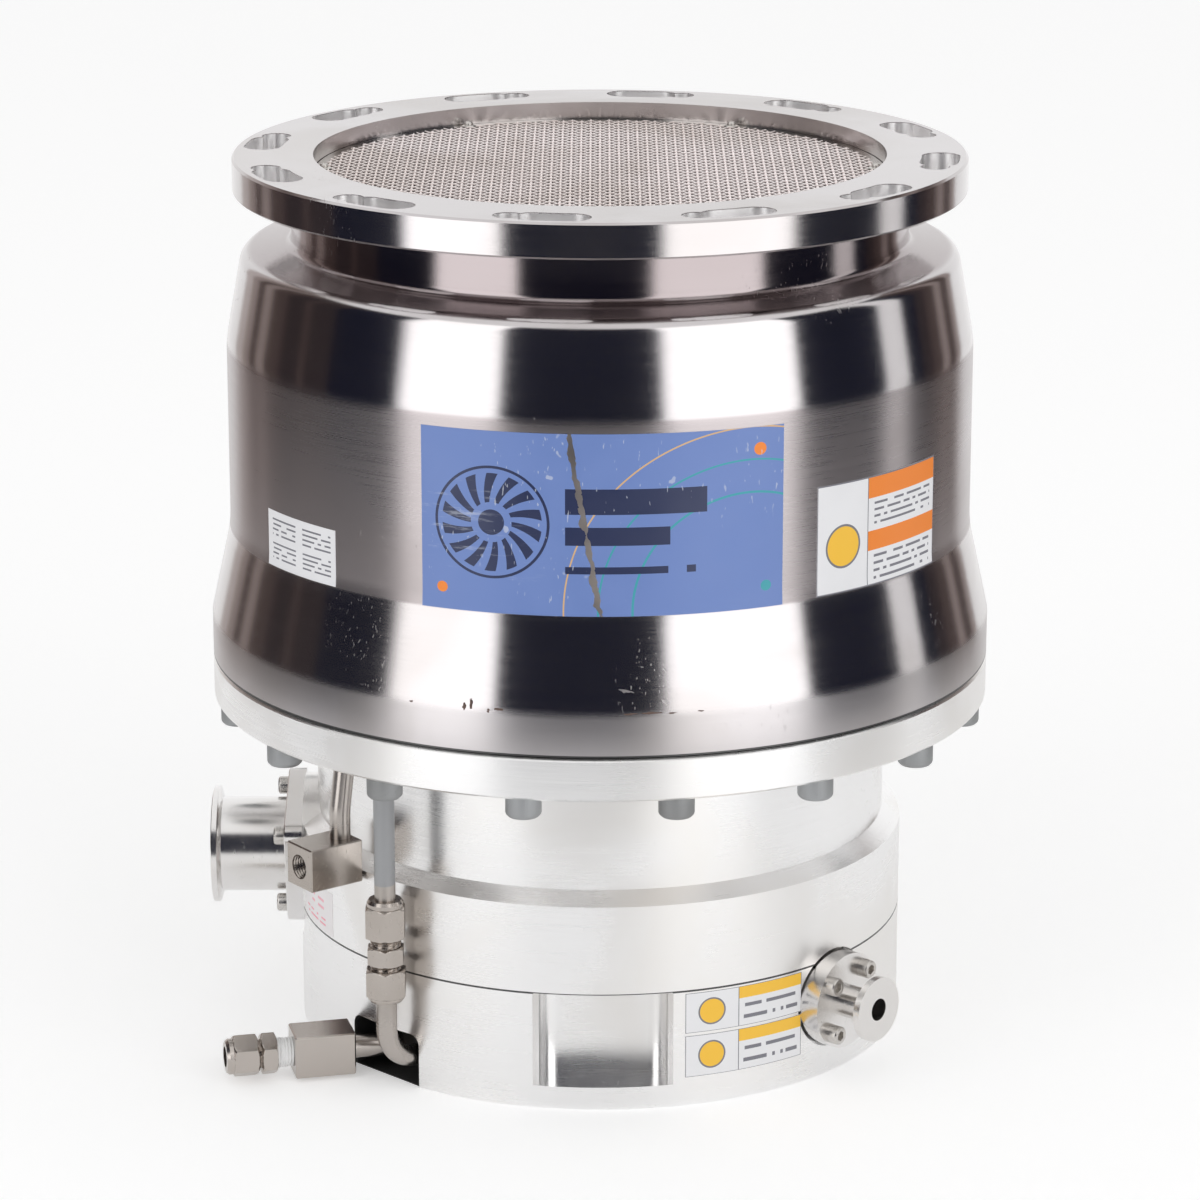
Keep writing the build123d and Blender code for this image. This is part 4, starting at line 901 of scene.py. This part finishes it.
# %% Label recipe
def label(name, ground, marks, shape=1.0, worn=0.0, rough=0.34):
    """Film: its ground colour, then marks (kind, numbers, colour) in order, then wear.

    shape is width over height; worn adds a tear, rubbed streaks and that share of scratches.
    """
    made, tree, shader = new_material(name)
    uv = put(
        tree, "ShaderNodeSeparateXYZ",
        {0: put(tree, "ShaderNodeUVMap", {}, uv_map="UVMap").outputs[0]},
    )
    u, v = uv.outputs[0], uv.outputs[1]
    vector = put(tree, "ShaderNodeTexCoord").outputs["Object"]
    mottle = noise(tree, vector, 60.0, 3.0)
    colour = blend(tree, mottle, [c * 0.95 for c in ground], ground)
    for kind, numbers, ink in marks:
        if kind == "bar":
            mask = bar(tree, u, v, *numbers)
        elif kind == "ring":
            mask = ring_mark(tree, u, v, *numbers, shape)[0]
        elif kind == "fan":
            mask = fan_mark(tree, u, v, *numbers, shape)
        else:
            mask = print_rows(tree, u, v, *numbers)
        colour = blend(tree, mask, colour, ink)
    if worn:
        # A tear runs up the film, aslant, with a wavering edge and an uneven width.
        wobble = noise(tree, vector, 140.0, 4.0)
        path = plus(tree, u, times(tree, v, 0.085))
        path = plus(tree, path, times(tree, minus(tree, wobble, 0.5), 0.05))
        tear_at, tear_width = 0.487, times(tree, ramp(tree, wobble, 0.30, 0.55), 0.017)
        tear = between(tree, path, tear_at, plus(tree, tear_width, tear_at))
        # Its left part is rubbed in level streaks, and short scratches cross all of it.
        scratch = use(tree, scratches, vector=vector, scale=60.0, share=worn)
        level = mapped(tree, vector, rotation=(0, 0.35, 0), scale=(1.0, 1.0, 9.0))
        streak = ramp(tree, noise(tree, level, 30.0, 5.0, roughness=0.7), 0.56, 0.70)
        left = times(tree, ramp(tree, u, 0.40, 0.05), between(tree, v, 0.18, 0.75))
        rubbed = times(tree, times(tree, streak, left), 0.55)
        scuffs = math_node(tree, "MAXIMUM", times(tree, scratch, 0.55), rubbed)
        colour = blend(tree, scuffs, colour, (0.60, 0.64, 0.74))
        colour = blend(tree, tear, colour, (0.50, 0.45, 0.42))
        tree.links.new(tear, shader.inputs["Metallic"])
    tree.links.new(colour, shader.inputs["Base Color"])
    gloss = ramp(tree, mottle, 0.3, 0.7, rough - 0.05, rough + 0.08)
    tree.links.new(gloss, shader.inputs["Roughness"])
    finishes[name] = made

# %% The five labels
sky, white, grey = (0.16, 0.25, 0.56), (0.85, 0.85, 0.87), (0.20, 0.20, 0.23)
orange, yellow, navy = (0.90, 0.25, 0.03), (0.94, 0.55, 0.05), (0.02, 0.03, 0.09)
teal, sand = (0.05, 0.36, 0.42), (0.72, 0.45, 0.20)
edge = [
    ("bar", (0.0, 1.0, 0.0, 0.012), grey), ("bar", (0.0, 1.0, 0.988, 1.0), grey),
    ("bar", (0.0, 0.005, 0.0, 1.0), grey), ("bar", (0.995, 1.0, 0.0, 1.0), grey),
]
prints = {
    "label_blue": (
        sky,
        [
            ("ring", (0.90, 0.02, 0.62, 0.632), teal), ("ring", (0.90, 0.02, 0.80, 0.810), teal),
            ("ring", (0.90, 0.02, 0.98, 0.988), sand), ("fan", (0.20, 0.50, 0.11, 0.27), navy),
            ("ring", (0.20, 0.50, 0.0, 0.07), navy), ("ring", (0.20, 0.50, 0.295, 0.31), navy),
            ("bar", (0.40, 0.78, 0.56, 0.70), navy), ("bar", (0.40, 0.68, 0.39, 0.49), navy),
            ("row", (0.40, 0.80, 0.20, 0.31, 1, 40), navy),
            ("ring", (0.93, 0.88, 0.0, 0.035), orange), ("ring", (0.06, 0.12, 0.0, 0.03), orange),
            ("ring", (0.95, 0.12, 0.0, 0.03), teal),
        ],
        1.95, 0.05,
    ),
    "label_white": (
        white,
        [
            ("row", (left, left + 0.38, low, high, 4, 22), grey)
            for left in (0.08, 0.56) for low, high in ((0.54, 0.90), (0.12, 0.46))
        ],
    ),
    "label_orange": (
        white,
        [
            ("bar", (0.37, 1.0, 0.80, 1.0), orange), ("bar", (0.37, 1.0, 0.32, 0.50), orange),
            ("row", (0.42, 0.95, 0.54, 0.78, 4, 34), grey),
            ("row", (0.42, 0.95, 0.03, 0.30, 4, 34), grey),
            ("ring", (0.185, 0.42, 0.0, 0.20), grey), ("ring", (0.185, 0.42, 0.0, 0.18), yellow),
            ("bar", (0.366, 0.372, 0.0, 1.0), grey), *edge,
        ],
        1.6,
    ),
    "label_yellow": (
        white,
        [
            ("bar", (0.43, 1.0, 0.70, 1.0), yellow), ("row", (0.48, 0.94, 0.40, 0.64, 1, 24), grey),
            ("row", (0.47, 0.96, 0.10, 0.36, 1, 40), grey), ("ring", (0.21, 0.5, 0.0, 0.34), grey),
            ("ring", (0.21, 0.5, 0.0, 0.30), yellow), ("bar", (0.425, 0.432, 0.0, 1.0), grey),
            *edge,
        ],
        3.1,
    ),
    "stamp_film": (
        (0.88, 0.85, 0.86),
        [
            ("row", (0.12, 0.80, 0.10, 0.34, 2, 18), (0.86, 0.30, 0.38)),
            ("row", (0.25, 0.75, 0.44, 0.78, 2, 9), (0.88, 0.42, 0.50)),
        ],
        1.8,
    ),
}
for name, recipe in prints.items():
    label(name, *recipe)
print(len(finishes), "finishes in all")

# %% Put the finishes on
for name, solid in nodes.items():
    material = finishes[slot_of[name]]
    solid.data.materials.clear()
    solid.data.materials.append(material)
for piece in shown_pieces():
    if piece.name not in nodes:
        piece.data.materials[0] = finishes[piece["finish"]]
nodes["flange_pipe"].data.materials[0] = finishes["pipe_coated"]

# %% [markdown]
# ## Floor, light and camera
# Polished metal shows the room. The room here is a white sweep, two tall soft lights in front,
# and dark walls between and beside them, which draw the dark bands a studio leaves on steel.

# %% Floor and backdrop
def stage_sheet(name, points, colour, strength=0.0):
    """A stage surface of one quad strip, not part of the object."""
    mesh = bpy.data.meshes.new(name)
    points = np.asarray(points, float)
    faces = grid_faces(*points.shape[:2], close_cols=False)
    mesh.from_pydata(points.reshape(-1, 3).tolist(), [], faces.tolist())
    sheet = bpy.data.objects.new(name, mesh)
    bpy.context.scene.collection.objects.link(sheet)
    made, tree, shader = new_material(name)
    shader.inputs["Base Color"].default_value = (*colour, 1)
    shader.inputs["Roughness"].default_value = 0.9
    shader.inputs["Specular IOR Level"].default_value = 0.1
    shader.inputs["Emission Color"].default_value = (1, 1, 1, 1)
    shader.inputs["Emission Strength"].default_value = strength
    mesh.materials.append(made)
    return sheet, tree, shader

floor_glow = 0.22
tree, shader = stage_sheet(
    "floor", [[(-9, -9, 0), (9, -9, 0)], [(-9, 9, 0), (9, 9, 0)]], (0.95, 0.95, 0.95), floor_glow
)[1:]
# The table is round: past its edge, reflections see the lights and the dark room instead.
rays = put(tree, "ShaderNodeLightPath").outputs
spread = put(
    tree, "ShaderNodeVectorMath", {0: put(tree, "ShaderNodeTexCoord").outputs["Object"]},
    operation="LENGTH",
).outputs["Value"]
mirrored = times(tree, ramp(tree, spread, 0.86, 0.94), rays["Is Glossy Ray"])
glow = plus(tree, times(tree, rays["Is Camera Ray"], 0.09), floor_glow)
tree.links.new(glow, shader.inputs["Emission Strength"])
clear = put(tree, "ShaderNodeBsdfTransparent")
table = put(
    tree, "ShaderNodeMixShader", {0: mirrored, 1: shader.outputs[0], 2: clear.outputs[0]}
)
tree.links.new(table.outputs[0], tree.nodes["Material Output"].inputs["Surface"])

# %% Dark room about the lights
def wall(name, first, last, colour, radius=3.5, low=-2.0, high=3.2):
    """Part of a round wall about the pump, seen only in reflections."""
    points = [[spot(b, radius, z) for b in np.linspace(first, last, 12)] for z in (low, high)]
    made = stage_sheet(name, points, colour)[0]
    made.visible_camera = made.visible_diffuse = made.visible_shadow = False

night, soot, brown = (0.009, 0.010, 0.025), (0.045, 0.033, 0.036), (0.10, 0.072, 0.068)
tan, dust = (0.42, 0.35, 0.33), (0.70, 0.63, 0.61)
room = [
    (30, -19, night), (88, 60, night), (99, 88, soot), (102, 99, brown), (112, 102, soot),
    (121, 112, brown), (127, 121, tan), (132, 127, brown), (138, 132, tan), (146, 138, dust),
    (-61, -94, night), (-105, -113, night), (-113, -119, soot), (-119, -126, brown),
    (-126, -131, tan), (-131, -137, brown), (-137, -142, tan),
]
for k, (first, last, colour) in enumerate(room):
    wall(f"dark_room_{k}", first, last, colour)

# %% Soft lights
def soft_light(name, bearing, width, height=4.6, distance=3.0, z=0.5, strength=0.85):
    """Area light facing the pump; power = strength * pi * area gives a panel of that brightness."""
    data = bpy.data.lights.new(name, "AREA")
    data.shape, data.size, data.size_y = "RECTANGLE", width, height
    data.energy = strength * math.pi * width * height
    lamp = bpy.data.objects.new(name, data)
    bpy.context.scene.collection.objects.link(lamp)
    lamp.location = spot(bearing, distance, z)
    aim = np.array([0, 0, 0.22]) - spot(bearing, distance, z)
    lamp.rotation_euler = mathutils.Vector(aim).to_track_quat("-Z", "Y").to_euler()

soft_light("soft_left", 45.5, 1.8)
soft_light("soft_right", -39, 2.3)

# %% World
world = bpy.data.worlds.new("white_room")
bpy.context.scene.world = world
world.use_nodes = True
tree = world.node_tree
path = put(tree, "ShaderNodeLightPath").outputs
mirrored = math_node(tree, "MAXIMUM", path["Is Glossy Ray"], path["Is Transmission Ray"])
seen = math_node(tree, "MAXIMUM", path["Is Camera Ray"], mirrored)
back = tree.nodes["Background"]
back.inputs["Color"].default_value = (1, 1, 1, 1)
tree.links.new(plus(tree, times(tree, seen, 0.35), 0.65), back.inputs["Strength"])

# %% Camera
camera = bpy.data.objects.new("camera", bpy.data.cameras.new("camera"))
bpy.context.scene.collection.objects.link(camera)
camera.location = (0, -2.0684, 0.7906)
camera.rotation_euler = (math.radians(74.02), 0, 0)
camera.data.lens, camera.data.sensor_width = 137.85, 36
bpy.context.scene.camera = camera
bpy.context.scene.view_settings.view_transform = "Standard"
